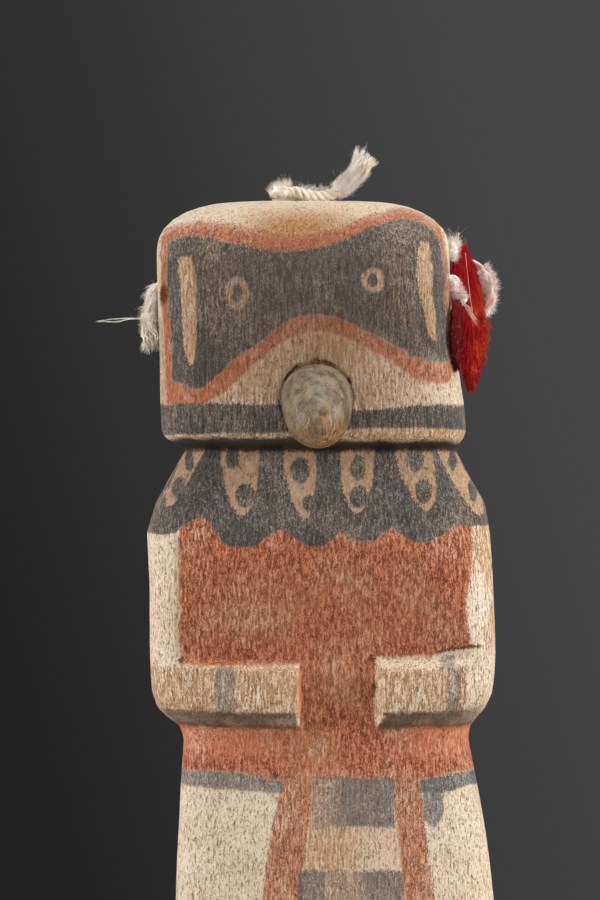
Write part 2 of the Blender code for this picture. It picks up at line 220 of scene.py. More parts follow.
def settled(name, source, tree=None, inputs=None):
    # Runs a node tree on an object and keeps the result as a plain mesh
    if tree:
        modifier = source.modifiers.new(tree.name, "NODES")
        modifier.node_group = tree
        sockets = {item.name: item.identifier for item in tree.interface.items_tree if item.in_out == "INPUT"}
        for title, value in (inputs or {}).items():
            modifier[sockets[title]] = value
    bpy.context.view_layer.update()
    evaluated = source.evaluated_get(bpy.context.evaluated_depsgraph_get())
    mesh = bpy.data.meshes.new_from_object(evaluated)
    mesh.name = name
    bpy.data.objects.remove(source, do_unlink=True)
    return addObject(name, mesh)


def smoothPath(points, count):
    # The same smooth curve as the solids' own, with evenly spaced points
    knots = [np.array(point, dtype=float) for point in points]
    knots = [2 * knots[0] - knots[1]] + knots + [2 * knots[-1] - knots[-2]]
    fine = []
    for before, start, end, after in zip(knots, knots[1:], knots[2:], knots[3:]):
        for t in np.arange(16) / 16:
            straight = 2 * start + (end - before) * t
            bent = (2 * before - 5 * start + 4 * end - after) * t**2
            eased = (3 * start - before - 3 * end + after) * t**3
            fine.append(0.5 * (straight + bent + eased))
    fine = np.array(fine + [knots[-2]])
    travelled = np.concatenate(([0.0], np.cumsum(np.linalg.norm(np.diff(fine, axis=0), axis=1))))
    wanted = np.linspace(0.0, travelled[-1], count)
    return np.column_stack([np.interp(wanted, travelled, fine[:, axis]) for axis in range(3)])


# Camera, light and floor
print("stage")

stage = {
    "floorRadius": 0.42,
    "floorThickness": 0.006,
    "floorColour": (206, 203, 198),
    "floorCloud": 0.94,
    "backdrop": (33, 33, 33),
    "glow": (71, 71, 71),
    "glowTowards": (4.2, 0.0, 1.3),
    "glowMiddle": 0.52,
    "glowEdges": (-0.1, 1.1),
    "fill": 0.06,
    "aim": (0.0, 0.0, 0.13),
}
lamps = {
    "rightSoftbox": {"at": (0.70, -0.22, 0.40), "size": (0.40, 0.60), "watts": 6.6},
    "leftSoftbox": {"at": (-0.72, -0.21, 0.38), "size": (0.40, 0.60), "watts": 5.6},
    "topSoftbox": {"at": (0.05, -0.10, 0.85), "size": (0.50, 0.40), "watts": 3.2},
    "frontFill": {"at": (0.10, -1.15, 0.55), "size": (0.7, 0.5), "watts": 0.7},
    "backFill": {"at": (-0.05, 0.95, 0.45), "size": (0.8, 0.6), "watts": 3.0},
}


def makeCamera():
    data = bpy.data.cameras.new("eye")
    data.sensor_width = eye["film"]
    data.lens = eye["film"] * eye["distance"] / (eye["pixel"] * eye["tall"])
    data.dof.use_dof = False
    camera = addObject("eye", data)
    camera.location = (eye["side"], eye["axisY"] - eye["distance"], eye["level"])
    camera.rotation_euler = (math.radians(90), 0.0, 0.0)
    bpy.context.scene.camera = camera


def makeWorld():
    world = bpy.data.worlds.new("studio")
    bpy.context.scene.world = world
    world.use_nodes = True
    current["tree"] = world.node_tree
    world.node_tree.nodes.clear()
    # A dark grey backdrop that lightens softly to one side; other rays get an even dim fill
    ray = put("ShaderNodeTexCoord").outputs["Generated"]
    across = vectors("DOT_PRODUCT", vectors("NORMALIZE", ray), stage["glowTowards"])
    share = ease(plus(across, stage["glowMiddle"]), *stage["glowEdges"])
    colour = mixed(share, shade(*stage["backdrop"]), shade(*stage["glow"]))
    seen = result("ShaderNodeBackground", {"Color": colour})
    dim = result("ShaderNodeBackground", {"Color": (1, 1, 1, 1), "Strength": stage["fill"]})
    isSeen = put("ShaderNodeLightPath").outputs["Is Camera Ray"]
    both = result("ShaderNodeMixShader", {0: isSeen, 1: dim, 2: seen})
    put("ShaderNodeOutputWorld", {"Surface": both})


def makeLamps():
    for name, lamp in lamps.items():
        data = bpy.data.lights.new(name, "AREA")
        data.shape = "RECTANGLE"
        data.size, data.size_y = lamp["size"]
        data.energy = lamp["watts"]
        light = addObject(name, data)
        light.location = lamp["at"]
        light.rotation_euler = (Vector(stage["aim"]) - light.location).to_track_quat("-Z", "Y").to_euler()


def makeFloor():
    shape = bmesh.new()
    radius, thick = stage["floorRadius"], stage["floorThickness"]
    bmesh.ops.create_cone(shape, cap_ends=True, segments=96, radius1=radius, radius2=radius, depth=thick)
    bmesh.ops.translate(shape, verts=shape.verts, vec=(0.0, 0.0, -thick / 2))
    floor = addMesh("floor", shape)
    material, surface = newMaterial("paleFloor")
    base = shade(*stage["floorColour"])
    duller = (*[value * stage["floorCloud"] for value in base[:3]], 1.0)
    finishSurface(surface, mixed(noise(objectPlace(), 6.0, 3.0), base, duller), 0.8)
    floor.data.materials.append(material)


makeCamera()
makeWorld()
makeLamps()
makeFloor()
bpy.context.scene.view_settings.view_transform = "Standard"


# Shared surface effects


def makeGrainGroup():
    # Long fibres, short fibres, dark pores and soft blotches of split and weathered wood
    inputs = {"Vector": ["Vector"], "Float": ["Pitch"]}
    group, given, out = startTree("woodGrain", "ShaderNodeTree", inputs, {"Float": grainNames})
    along = scaled(squashed(given["Vector"], 0.13), given["Pitch"])
    short = scaled(squashed(given["Vector"], 0.42), given["Pitch"])
    fill(out["Fibres"], noise(along, 2600.0, 3.0, 0.6))
    fill(out["Flecks"], noise(short, 5600.0, 1.0, 0.5))
    fill(out["Pores"], noise(short, 3400.0, 1.0, 0.5, 0.3))
    fill(out["Blotches"], noise(given["Vector"], 110.0, 4.0, 0.55))
    return group


def makeFibreGroup():
    # Pale and dark hairs in cotton and down
    inputs = {"Vector": ["Vector"], "Color": ["Light", "Deep"]}
    group, given, out = startTree("hairTint", "ShaderNodeTree", inputs, {"Color": ["Color"], "Float": ["Height"]})
    soft = noise(given["Vector"], 420.0, 2.0, 0.5)
    fine = noise(given["Vector"], 2600.0, 2.0, 0.6)
    amount = plus(times(soft, 0.65), times(fine, 0.35))
    fill(out["Color"], mixed(ease(amount, 0.36, 0.62), given["Deep"], given["Light"]))
    fill(out["Height"], fine)
    return group


grainNames = ("Fibres", "Flecks", "Pores", "Blotches")
woodGrain = makeGrainGroup()
hairTint = makeFibreGroup()


def grainOf(where, pitch):
    grain = placed(woodGrain, {"Vector": where, "Pitch": pitch})
    return [grain[name] for name in grainNames]


hairFinish = {
    "roughness": 0.95,
    "specular": 0.25,
    "sheen": 0.6,
    "sheenRoughness": 0.5,
    "white": {"light": (255, 251, 243), "deep": (238, 222, 194)},
    "pink": {"light": (255, 244, 236), "deep": (240, 198, 182)},
}


def hairMaterial(name, light, deep):
    material, surface = newMaterial(name)
    tint = placed(hairTint, {"Vector": objectPlace(), "Light": shade(*light), "Deep": shade(*deep)})
    surface["Sheen Weight"].default_value = hairFinish["sheen"]
    surface["Sheen Roughness"].default_value = hairFinish["sheenRoughness"]
    finishSurface(
        surface, tint["Color"], hairFinish["roughness"], hairFinish["specular"], tint["Height"], 0.5, 0.0001
    )
    return material


cotton = hairMaterial("cottonFibre", **hairFinish["white"])
pinkCotton = hairMaterial("stainedCottonFibre", **hairFinish["pink"])


# Cords: their routes repeat those of the solids, from the mouth of each bore
print("cords")

crownCord = {
    "mouth": (-0.0080, 0.0065, 0.2000),
    "inward": (-0.5, 0.0, -1.0),
    "steps": (
        (0.0005, 0.0, 0.0010),
        (0.0020, -0.0002, 0.0021),
        (0.0046, -0.0003, 0.0016),
        (0.0068, -0.0002, 0.0013),
        (0.0090, 0.0, 0.0014),
        (0.0112, 0.0001, 0.0025),
        (0.0142, 0.0001, 0.0052),
        (0.0173, 0.0, 0.0089),
    ),
    "diameter": 0.0021,
    "length": 0.031,
    "turns": 7.5,
    "frayFrom": 0.66,
    "fraySpread": 0.0006,
}
leftYarn = {
    "mouth": (-0.03119, 0.0035, 0.1835),
    "inward": (1.0, 0.0, 0.6),
    "steps": (
        (-0.0006, -0.0002, -0.0006),
        (-0.0010, -0.0006, -0.0028),
        (-0.0013, -0.0009, -0.0058),
        (-0.0012, -0.0010, -0.0088),
        (-0.0010, -0.0010, -0.0105),
    ),
    "diameter": 0.0022,
    "turns": 2.0,
    "frayFrom": 0.62,
    "fraySpread": 0.0004,
}
rightCord = {
    "mouth": (0.02406, 0.0015, 0.1860),
    "inward": (-1.0, 0.0, 0.0),
    "steps": (
        (0.0008, -0.0002, -0.0008),
        (0.0010, 0.0006, -0.0024),
        (0.0016, 0.0030, -0.0046),
        (0.0040, 0.0056, -0.0066),
        (0.0070, 0.0062, -0.0070),
        (0.0084, 0.0072, -0.0040),
        (0.0077, 0.0083, -0.0002),
        (0.0062, 0.0083, 0.0020),
        (0.0042, 0.0076, 0.0032),
        (0.0027, 0.0066, 0.0047),
        (0.0018, 0.0056, 0.0062),
        (0.0012, 0.0046, 0.0078),
    ),
    "diameter": 0.0021,
    "length": 0.042,
    "turns": 5.0,
    "frayFrom": 0.86,
    "fraySpread": 0.0007,
    "bulk": (
        (0.0, 0.75), (0.20, 0.8), (0.27, 0.85), (0.33, 0.7), (0.37, 0.3), (0.42, 0.3), (0.45, 0.5), (0.52, 0.6),
        (0.60, 0.7), (0.72, 0.8), (0.77, 0.7), (0.81, 0.5), (0.90, 0.5), (0.94, 0.6), (1.0, 0.6),
    ),
}
boreDepth = 0.009
pathPoints = 160
coarseHair = 0.000034
fineHair = 0.000016


def cordPath(cord, count=pathPoints):
    mouth = np.array(cord["mouth"])
    inward = np.array(cord["inward"]) / np.linalg.norm(cord["inward"])
    held = [mouth + inward * depth for depth in (boreDepth - 0.0005, boreDepth * 0.5, boreDepth * 0.2)]
    return smoothPath(held + [mouth + np.array(step) for step in cord["steps"]], count)


def strand(cord, count, *steps):
    return smoothPath([np.array(cord["mouth"]) + np.array(step) for step in steps], count)


def lineObject(name, points):
    mesh = bpy.data.meshes.new(name)
    mesh.from_pydata([tuple(p) for p in points], [(i, i + 1) for i in range(len(points) - 1)], [])
    return addObject(name, mesh)


def around(normal, binormal, angle, distance):
    # A step of a given distance away from the path, at an angle round it
    sideways = scaled(normal, times(maths("COSINE", angle), distance))
    upwards = scaled(binormal, times(maths("SINE", angle), distance))
    return vectors("ADD", sideways, upwards)


def noiseStep(scale, amount, seed):
    where = result("GeometryNodeInputPosition")
    aside = result("ShaderNodeCombineXYZ", {"X": seed, "Y": seed})
    return noiseShift(vectors("ADD", where, aside), scale, 1.0, amount)


def shifted(geometry, step):
    return result("GeometryNodeSetPosition", {"Geometry": geometry, "Offset": step})


def finishGeometry(out, geometry, material):
    real = result("GeometryNodeRealizeInstances", {"Geometry": geometry})
    soft = result("GeometryNodeSetShadeSmooth", {"Geometry": real})
    fill(out["Geometry"], result("GeometryNodeSetMaterial", {"Geometry": soft, "Material": material}))


def asTubes(out, curves, radius, sides, material):
    profile = put("GeometryNodeCurvePrimitiveCircle", {"Resolution": sides, "Radius": 1.0}).outputs["Curve"]
    inputs = {"Curve": curves, "Profile Curve": profile, "Scale": radius, "Fill Caps": True}
    finishGeometry(out, result("GeometryNodeCurveToMesh", inputs), material)


def randomShare(seed, offset, low, high):
    inputs = {"Seed": plus(seed, offset), 2: low, 3: high}
    return put("FunctionNodeRandomValue", inputs, data_type="FLOAT").outputs[1]


def randomVector(seed, offset):
    inputs = {"Seed": plus(seed, offset), 0: (-1.0, -1.0, -1.0), 1: (1.0, 1.0, 1.0)}
    return result("FunctionNodeRandomValue", inputs, data_type="FLOAT_VECTOR")


def grownHairs(points, heading, length):
    # A straight hair on each point, and how far along its hair each place is
    turn = result("FunctionNodeAlignRotationToVector", {"Vector": heading}, axis="Z")
    line = result("GeometryNodeCurvePrimitiveLine", {"Start": (0, 0, 0), "End": (0, 0, 1)})
    hair = result("GeometryNodeResampleCurve", {"Curve": line, "Count": 5})
    inputs = {"Points": points, "Instance": hair, "Rotation": turn, "Scale": length}
    hairs = result("GeometryNodeInstanceOnPoints", inputs)
    real = result("GeometryNodeRealizeInstances", {"Geometry": hairs})
    return real, put("GeometryNodeSplineParameter").outputs["Factor"]


def makeCordTree():
    # Plies wound round a path, each a bundle of finer yarns that parts towards the frayed end
    numbers = ("Ply Offset", "Yarn Offset", "Yarn Radius", "Ply Turns", "Yarn Turns", "Fray From", "Fray Spread")
    tree, given, out = startGeometry("twistedCord", Int=("Plies", "Yarns"), Float=numbers)
    path = result("GeometryNodeMeshToCurve", {"Mesh": given["Geometry"]})
    total = times(given["Plies"], given["Yarns"])
    copies = put("GeometryNodeDuplicateElements", {"Geometry": path, "Amount": total}, domain="SPLINE").outputs
    number = copies["Duplicate Index"]
    ply = maths("FLOOR", maths("DIVIDE", plus(number, 0.01), given["Yarns"]))
    yarn = minus(number, times(ply, given["Yarns"]))
    along = put("GeometryNodeSplineParameter").outputs["Factor"]
    normal = put("GeometryNodeInputNormal").outputs["Normal"]
    binormal = vectors("CROSS_PRODUCT", result("GeometryNodeInputTangent"), normal)
    fray = ease(along, given["Fray From"], 1.05)
    twisted = maths("MINIMUM", along, plus(given["Fray From"], 0.07))

    def turned(index, count, turns):
        return times(plus(maths("DIVIDE", index, count), times(turns, twisted)), 2 * math.pi)

    plyTurns = minus(given["Ply Turns"], times(fray, 0.7))
    plyDistance = fitted(fray, given["Fray Spread"], given["Ply Offset"])
    plyStep = around(normal, binormal, turned(ply, given["Plies"], plyTurns), plyDistance)
    yarnDistance = times(given["Yarn Offset"], fitted(fray, 1.1, 1.0))
    yarnStep = around(normal, binormal, turned(yarn, given["Yarns"], given["Yarn Turns"]), yarnDistance)
    stray = noiseStep(900.0, fitted(fray, 0.0012, 0.00022), times(number, 0.37))
    moved = shifted(copies[0], vectors("ADD", vectors("ADD", plyStep, yarnStep), stray))
    thinner = minus(1.0, times(ease(along, 0.9, 1.0), 0.75))
    asTubes(out, moved, times(given["Yarn Radius"], thinner), 6, given["Material"])
    return tree


def makeFuzzTree():
    # Loose hairs that stand out of a path in all directions
    numbers = ("From", "To", "Reach", "Length", "Thickness", "Lean", "Curl")
    tree, given, out = startGeometry("cottonFuzz", Int=("Count", "Seed"), Float=numbers)
    seed = given["Seed"]
    path = result("GeometryNodeMeshToCurve", {"Mesh": given["Geometry"]})
    trimmed = result("GeometryNodeTrimCurve", {"Curve": path, 2: given["From"], 3: given["To"]})
    roots = put("GeometryNodeCurveToPoints", {"Curve": trimmed, "Count": given["Count"]}).outputs
    tangent = roots["Tangent"]
    free = randomVector(seed, 1.0)
    across = vectors("SUBTRACT", free, scaled(tangent, vectors("DOT_PRODUCT", free, tangent)))
    outward = vectors("NORMALIZE", across)
    reach = times(given["Reach"], randomShare(seed, 2.0, 0.55, 1.0))
    points = shifted(roots[0], scaled(outward, reach))
    leaning = vectors("ADD", outward, scaled(tangent, given["Lean"]))
    heading = vectors("ADD", leaning, scaled(randomVector(seed, 3.0), 0.55))
    length = times(given["Length"], randomShare(seed, 4.0, 0.25, 1.0))
    hairs, along = grownHairs(points, heading, length)
    curled = shifted(hairs, noiseStep(700.0, times(given["Curl"], along), 3.3))
    radius = times(given["Thickness"], minus(1.0, times(along, 0.7)))
    asTubes(out, curled, radius, 3, given["Material"])
    return tree


cordTree = makeCordTree()
fuzzTree = makeFuzzTree()


def twistCord(name, cord, material, plies=3, yarns=7):
    radius = cord["diameter"] / 2
    inputs = {
        "Plies": plies,
        "Yarns": yarns,
        "Ply Offset": radius * 0.54,
        "Yarn Offset": radius * 0.33,
        "Yarn Radius": radius * 0.19,
        "Ply Turns": cord["turns"],
        "Yarn Turns": -0.8 * cord["turns"],
        "Fray From": cord["frayFrom"],
        "Fray Spread": cord["fraySpread"],
        "Material": material,
    }
    return settled(name, lineObject(name + "Line", cordPath(cord)), cordTree, inputs)


def fuzz(name, points, count, reach, length, curl, seed, start=0.0, end=1.0, lean=0.0, thick=0.000022, pink=False):
    inputs = {"Count": count, "From": start, "To": end, "Reach": reach, "Length": length, "Thickness": thick}
    inputs |= {"Lean": lean, "Curl": curl, "Seed": seed, "Material": pinkCotton if pink else cotton}
    return settled(name, lineObject(name + "Line", points), fuzzTree, inputs)


def wad(name, centre, radii, seed, material=cotton):
    # The lumpy middle of a tuft of cotton
    shape = bmesh.new()
    bmesh.ops.create_icosphere(shape, subdivisions=4, radius=1.0)
    for vert in shape.verts:
        away = noiseAt(vert.co * 1.7 + Vector((seed, 0, 0))) + 0.5 * noiseAt(vert.co * 4.5 + Vector((0, seed, 0)))
        grown = vert.co * (1.0 + 0.35 * away)
        vert.co = Vector(centre) + Vector(tuple(g * r for g, r in zip(grown, radii)))
    return addMesh(name, shape, material)


def join(name, *parts):
    # Several made pieces as one mesh with their materials
    joined = bmesh.new()
    materials = []
    for part in parts:
        first = len(joined.faces)
        joined.from_mesh(part.data)
        joined.faces.ensure_lookup_table()
        materials += [material for material in part.data.materials if material not in materials]
        shifts = [materials.index(material) for material in part.data.materials]
        for face in joined.faces[first:]:
            face.material_index = shifts[face.material_index]
            face.smooth = True
        bpy.data.objects.remove(part, do_unlink=True)
    whole = addMesh(name, joined)
    for material in materials:
        whole.data.materials.append(material)
    return whole


def thicken(cord, path, profile):
    # Make a cord thicker or thinner along its path
    points = np.empty(len(cord.data.vertices) * 3)
    cord.data.vertices.foreach_get("co", points)
    points = points.reshape(-1, 3)
    nearest = ((points[:, None] - path[None]) ** 2).sum(axis=2).argmin(axis=1)
    shares, sizes = zip(*profile)
    size = np.interp(nearest / (len(path) - 1), shares, sizes)[:, None]
    cord.data.vertices.foreach_set("co", (path[nearest] + (points - path[nearest]) * size).ravel())
    cord.data.update()


def makeCrownCord():
    path = cordPath(crownCord)
    cord = twistCord("crownCordTwist", crownCord, cotton)
    lump = strand(crownCord, 30, (-0.0014, 0, 0.0010), (0.0004, -0.0004, 0.0021), (0.0022, -0.0004, 0.0026))
    over = strand(crownCord, 30, (0.0032, 0, 0.0022), (0.0060, 0, 0.0019), (0.0092, 0, 0.0021))
    tipLeft = strand(crownCord, 30, (0.0134, 0, 0.0056), (0.0144, 0.0001, 0.0076), (0.0149, 0.0001, 0.0094))
    tipRight = strand(crownCord, 30, (0.0146, 0, 0.0052), (0.0160, 0, 0.0067), (0.0171, 0, 0.0075))
    under = strand(crownCord, 30, (0.0014, -0.0003, 0.0010), (0.0040, -0.0004, 0.0013), (0.0075, -0.0003, 0.0006))
    loose = join(
        "crown_cord_fuzz",
        wad("crownWad", lump[14], (0.0020, 0.0015, 0.0012), 2.0),
        fuzz("crownLump", lump, 1300, 0.0014, 0.0017, 0.0018, 11),
        fuzz("crownUnder", under, 500, 0.0008, 0.0011, 0.0010, 15),
        fuzz("crownOver", over, 620, 0.0009, 0.0012, 0.0012, 16),
        fuzz("crownRise", path, 1700, 0.0017, 0.0024, 0.0007, 12, 0.68, 0.88, 3.0, coarseHair),
        fuzz("crownHairs", path, 700, 0.0012, 0.0015, 0.0014, 17, 0.62, 0.92, 0.3),
        fuzz("crownTip", tipLeft, 420, 0.0008, 0.0021, 0.0004, 13, lean=5.0, thick=coarseHair),
        fuzz("crownTipRight", tipRight, 420, 0.0008, 0.0019, 0.0004, 18, lean=5.0, thick=coarseHair),
        fuzz("crownWisps", path, 40, 0.0009, 0.0040, 0.0030, 14, 0.30, 1.0, 0.6, fineHair),
    )
    cord.name = "crown_cord_twist"
    for piece in (cord, loose):
        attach(piece, "root")
    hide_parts("crown_cord")


def makeLeftYarn():
    path = cordPath(leftYarn)
    low = strand(leftYarn, 40, (-0.0012, -0.0007, -0.0034), (-0.0015, -0.0009, -0.0060), (-0.0010, -0.0010, -0.0104))
    tips = [
        strand(leftYarn, 30, (-0.0012, -0.0010, -0.0074), (-0.0018, -0.0010, -0.0094), (-0.0020, -0.0010, -0.0108)),
        strand(leftYarn, 30, (-0.0010, -0.0010, -0.0074), (-0.0006, -0.0010, -0.0094), (-0.0005, -0.0010, -0.0103)),
    ]
    # The thin loose thread goes out and comes back
    out = ((-0.0020, -0.0009, -0.0056), (-0.0048, -0.0009, -0.0057), (-0.0076, -0.0008, -0.0062))
    back = ((-0.0020, -0.0009, -0.0057), (-0.0050, -0.0008, -0.0056), (-0.0078, -0.0009, -0.0057))
    thread = strand(leftYarn, 60, *out, (-0.0104, -0.0009, -0.0062))
    threadBack = strand(leftYarn, 60, *back, (-0.0104, -0.0009, -0.0060))
    tuft = join(
        "left_ear_cotton",
        twistCord("leftYarnTwist", leftYarn, cotton, plies=3, yarns=8),
        wad("leftWad", low[10], (0.0012, 0.0013, 0.0021), 5.0),
        fuzz("leftYarnHairs", path, 1000, 0.0013, 0.0020, 0.0006, 26, 0.42, 0.84, 3.0, coarseHair),
        fuzz("leftLump", low, 1400, 0.0014, 0.0013, 0.0014, 21, lean=0.4, end=0.7),
        fuzz("leftEnd", tips[0], 420, 0.0006, 0.0020, 0.0005, 22, lean=4.0, thick=coarseHair),
        fuzz("leftEndRight", tips[1], 420, 0.0006, 0.0020, 0.0005, 27, lean=4.0, thick=coarseHair),
        fuzz("leftWisps", path, 46, 0.0010, 0.0036, 0.0030, 23, 0.40, 1.0, 0.2, fineHair),
        fuzz("leftThread", thread, 90, 0.00003, 0.0018, 0.00012, 24, lean=12.0, thick=0.00004),
        fuzz("leftThreadBack", threadBack, 70, 0.00003, 0.0016, 0.00012, 25, lean=12.0, thick=0.00003),
    )
    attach(tuft, "root")
    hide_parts("left_ear_yarn")


makeCrownCord()
makeLeftYarn()


# The carved and painted figure. Patterns are in millimetres, seen from the front:
# x to the viewer's right of the doll's own middle line, z up from the soles.
print("figure")

carving = {
    "voxel": 0.00044,
    "smoothing": 4,
    "triangles": 190000,
    "knifeDepth": 0.00022,
    "fibreDepth": 0.00010,
    "pitDepth": 0.00016,
}


def makeWeatheringTree():
    # Shallow knife flats, raised long fibres and small pits on a carved surface
    tree, given, out = startGeometry("weatheredSurface", Float=("Knife Depth", "Fibre Depth", "Pit Depth"))
    where = result("GeometryNodeInputPosition")
    knife = noise(squashed(where, 0.45), 140.0, 1.0, 0.4)
    fibres = noise(squashed(where, 0.12), 900.0, 2.0, 0.6)
    pits = ease(noise(squashed(where, 0.4), 760.0, 1.0, 0.5), 0.60, 0.74)
    height = times(minus(knife, 0.5), given["Knife Depth"])
    height = fitted(minus(fibres, 0.5), given["Fibre Depth"], height)
    height = minus(height, times(pits, given["Pit Depth"]))
    normal = put("GeometryNodeInputNormal").outputs["Normal"]
    finishGeometry(out, shifted(given["Geometry"], scaled(normal, height)), given["Material"])
    return tree


weatheringTree = makeWeatheringTree()


def merged(name, node):
    # A copy of a solid whose loose triangles are joined up
    shape = bmesh.new()
    shape.from_mesh(nodes[node].data)
    bmesh.ops.remove_doubles(shape, verts=shape.verts, dist=0.000001)
    return addMesh(name, shape)


def triangleCount(made):
    return sum(len(face.vertices) - 2 for face in made.data.polygons)


def carved(name, node, values, material):
    rough = merged(name + "Rough", node)
    remesh = rough.modifiers.new("remesh", "REMESH")
    remesh.mode = "VOXEL"
    remesh.voxel_size = values["voxel"]
    smooth = rough.modifiers.new("smooth", "SMOOTH")
    smooth.factor = 0.5
    smooth.iterations = values["smoothing"]
    inputs = {"Knife Depth": values["knifeDepth"], "Fibre Depth": values["fibreDepth"]}
    inputs |= {"Pit Depth": values["pitDepth"], "Material": material}
    fine = settled(name + "Fine", rough, weatheringTree, inputs)
    if triangleCount(fine) > values["triangles"]:
        fine.modifiers.new("thin", "DECIMATE").ratio = values["triangles"] / triangleCount(fine)
    return settled(name, fine)


def bounds(value, low, high, softness):
    # 1 between two edges, with soft brush edges
    rising = ease(value, minus(low, softness), plus(low, softness))
    falling = ease(value, plus(high, softness), minus(high, softness))
    return times(rising, falling)


def edgeCurve(value, points):
    # A painted edge: one coordinate as a function of the other, with a cusp at points that say so
    across, heights = zip(*[point[:2] for point in points])
    low, high, bottom, top = min(across), max(across), min(heights), max(heights)
    share = result("ShaderNodeMapRange", {"Value": value, "From Min": low, "From Max": high})
    made = put("ShaderNodeFloatCurve", {"Value": share})
    curve = made.mapping.curves[0]
    points = sorted(points)
    spots = [((point[0] - low) / (high - low), (point[1] - bottom) / (top - bottom)) for point in points]
    curve.points[0].location = spots[0]
    curve.points[-1].location = spots[-1]
    for point, spot in list(zip(points, spots))[1:-1]:
        curve.points.new(*spot).handle_type = "VECTOR" if len(point) > 2 else "AUTO"
    made.mapping.update()
    return fitted(made.outputs[0], top - bottom, bottom)


def inside(softness, *distances):
    # 1 where every distance is positive; corners are rounded a little
    nearest = distances[0]
    for distance in distances[1:]:
        nearest = maths("SMOOTH_MIN", nearest, distance, 0.8)
    return ease(nearest, -softness, softness)


def farFrom(x, z, centre, radii=(1.0, 1.0)):
    # How far from a centre a place is, in radii
    dx = maths("DIVIDE", minus(x, centre[0]), radii[0])
    dz = maths("DIVIDE", minus(z, centre[1]), radii[1])
    return maths("SQRT", plus(times(dx, dx), times(dz, dz)))


def oval(x, z, centre, radii, softness=0.12):
    return ease(farFrom(x, z, centre, radii), 1.0 + softness, 1.0 - softness)


ovalSizes = ("X", "Z", "Wide", "Tall")


def makeRuffFeatherGroup():
    # One bare feather shape on the dark ruff, with two dark ovals on it
    names = ["X", "Z", "Top X", "Top Z", "Foot X", "Foot Z", "Half Width"]
    names += [f"{which} {size}" for which in ("High", "Low") for size in ovalSizes]
    group, given, out = startTree("ruffFeather", "ShaderNodeTree", {"Float": names}, {"Float": ["Bare"]})
    down = maths("DIVIDE", minus(given["Top Z"], given["Z"]), minus(given["Top Z"], given["Foot Z"]))
    middle = fitted(down, minus(given["Foot X"], given["Top X"]), given["Top X"])
    blunt = minus(1.0, maths("POWER", maths("MAXIMUM", down, 0.0), 3.5))
    half = times(given["Half Width"], maths("POWER", maths("MAXIMUM", blunt, 0.0), 0.7))
    leaf = ease(minus(half, maths("ABSOLUTE", minus(given["X"], middle))), -0.2, 0.25)
    spots = []
    for which in ("High", "Low"):
        x, z, wide, tall = (given[f"{which} {size}"] for size in ovalSizes)
        spots.append(oval(given["X"], given["Z"], (x, z), (wide, tall)))
    fill(out["Bare"], times(leaf, ease(down, 1.0, 0.97), outside(either(*spots))))
    return group


ruffFeather = makeRuffFeatherGroup()


def ruffLeaf(x, z, leaf):
    inputs = {"X": x, "Z": z, "Half Width": leaf["half"]}
    for which in ("top", "foot", "high", "low"):
        inputs |= {f"{which.title()} {size}": value for size, value in zip(ovalSizes, leaf[which])}
    return placed(ruffFeather, inputs)["Bare"]


paint = {
    "woodLight": (218, 180, 142),
    "woodDeep": (160, 115, 78),
    "creamLight": (236, 219, 196),
    "creamDeep": (205, 178, 146),
    "redLight": (212, 128, 88),
    "redDeep": (120, 56, 32),
    # painted light on the sides of the waist
    "redPaintedLight": (226, 138, 98),
    "redOchre": (184, 118, 74),
    "grey": (98, 98, 98),
    "darkLight": (94, 92, 90),
    "darkDeep": (62, 61, 60),
    "crown": (216, 194, 166),
    "cheek": (190, 158, 128),
    "tan": (200, 163, 130),
    "ochre": (176, 122, 62),
    # also painted shade: under the forearms, in hollows and on the middle of the face
    "dirtAndShade": (84, 66, 50),
    # also the near-black painted shadow in the neck groove
    "sootAndShadow": (12, 10, 6),
    "pit": (76, 50, 34),
    "hole": (98, 46, 5),
    "moccasin": (150, 84, 58),
}

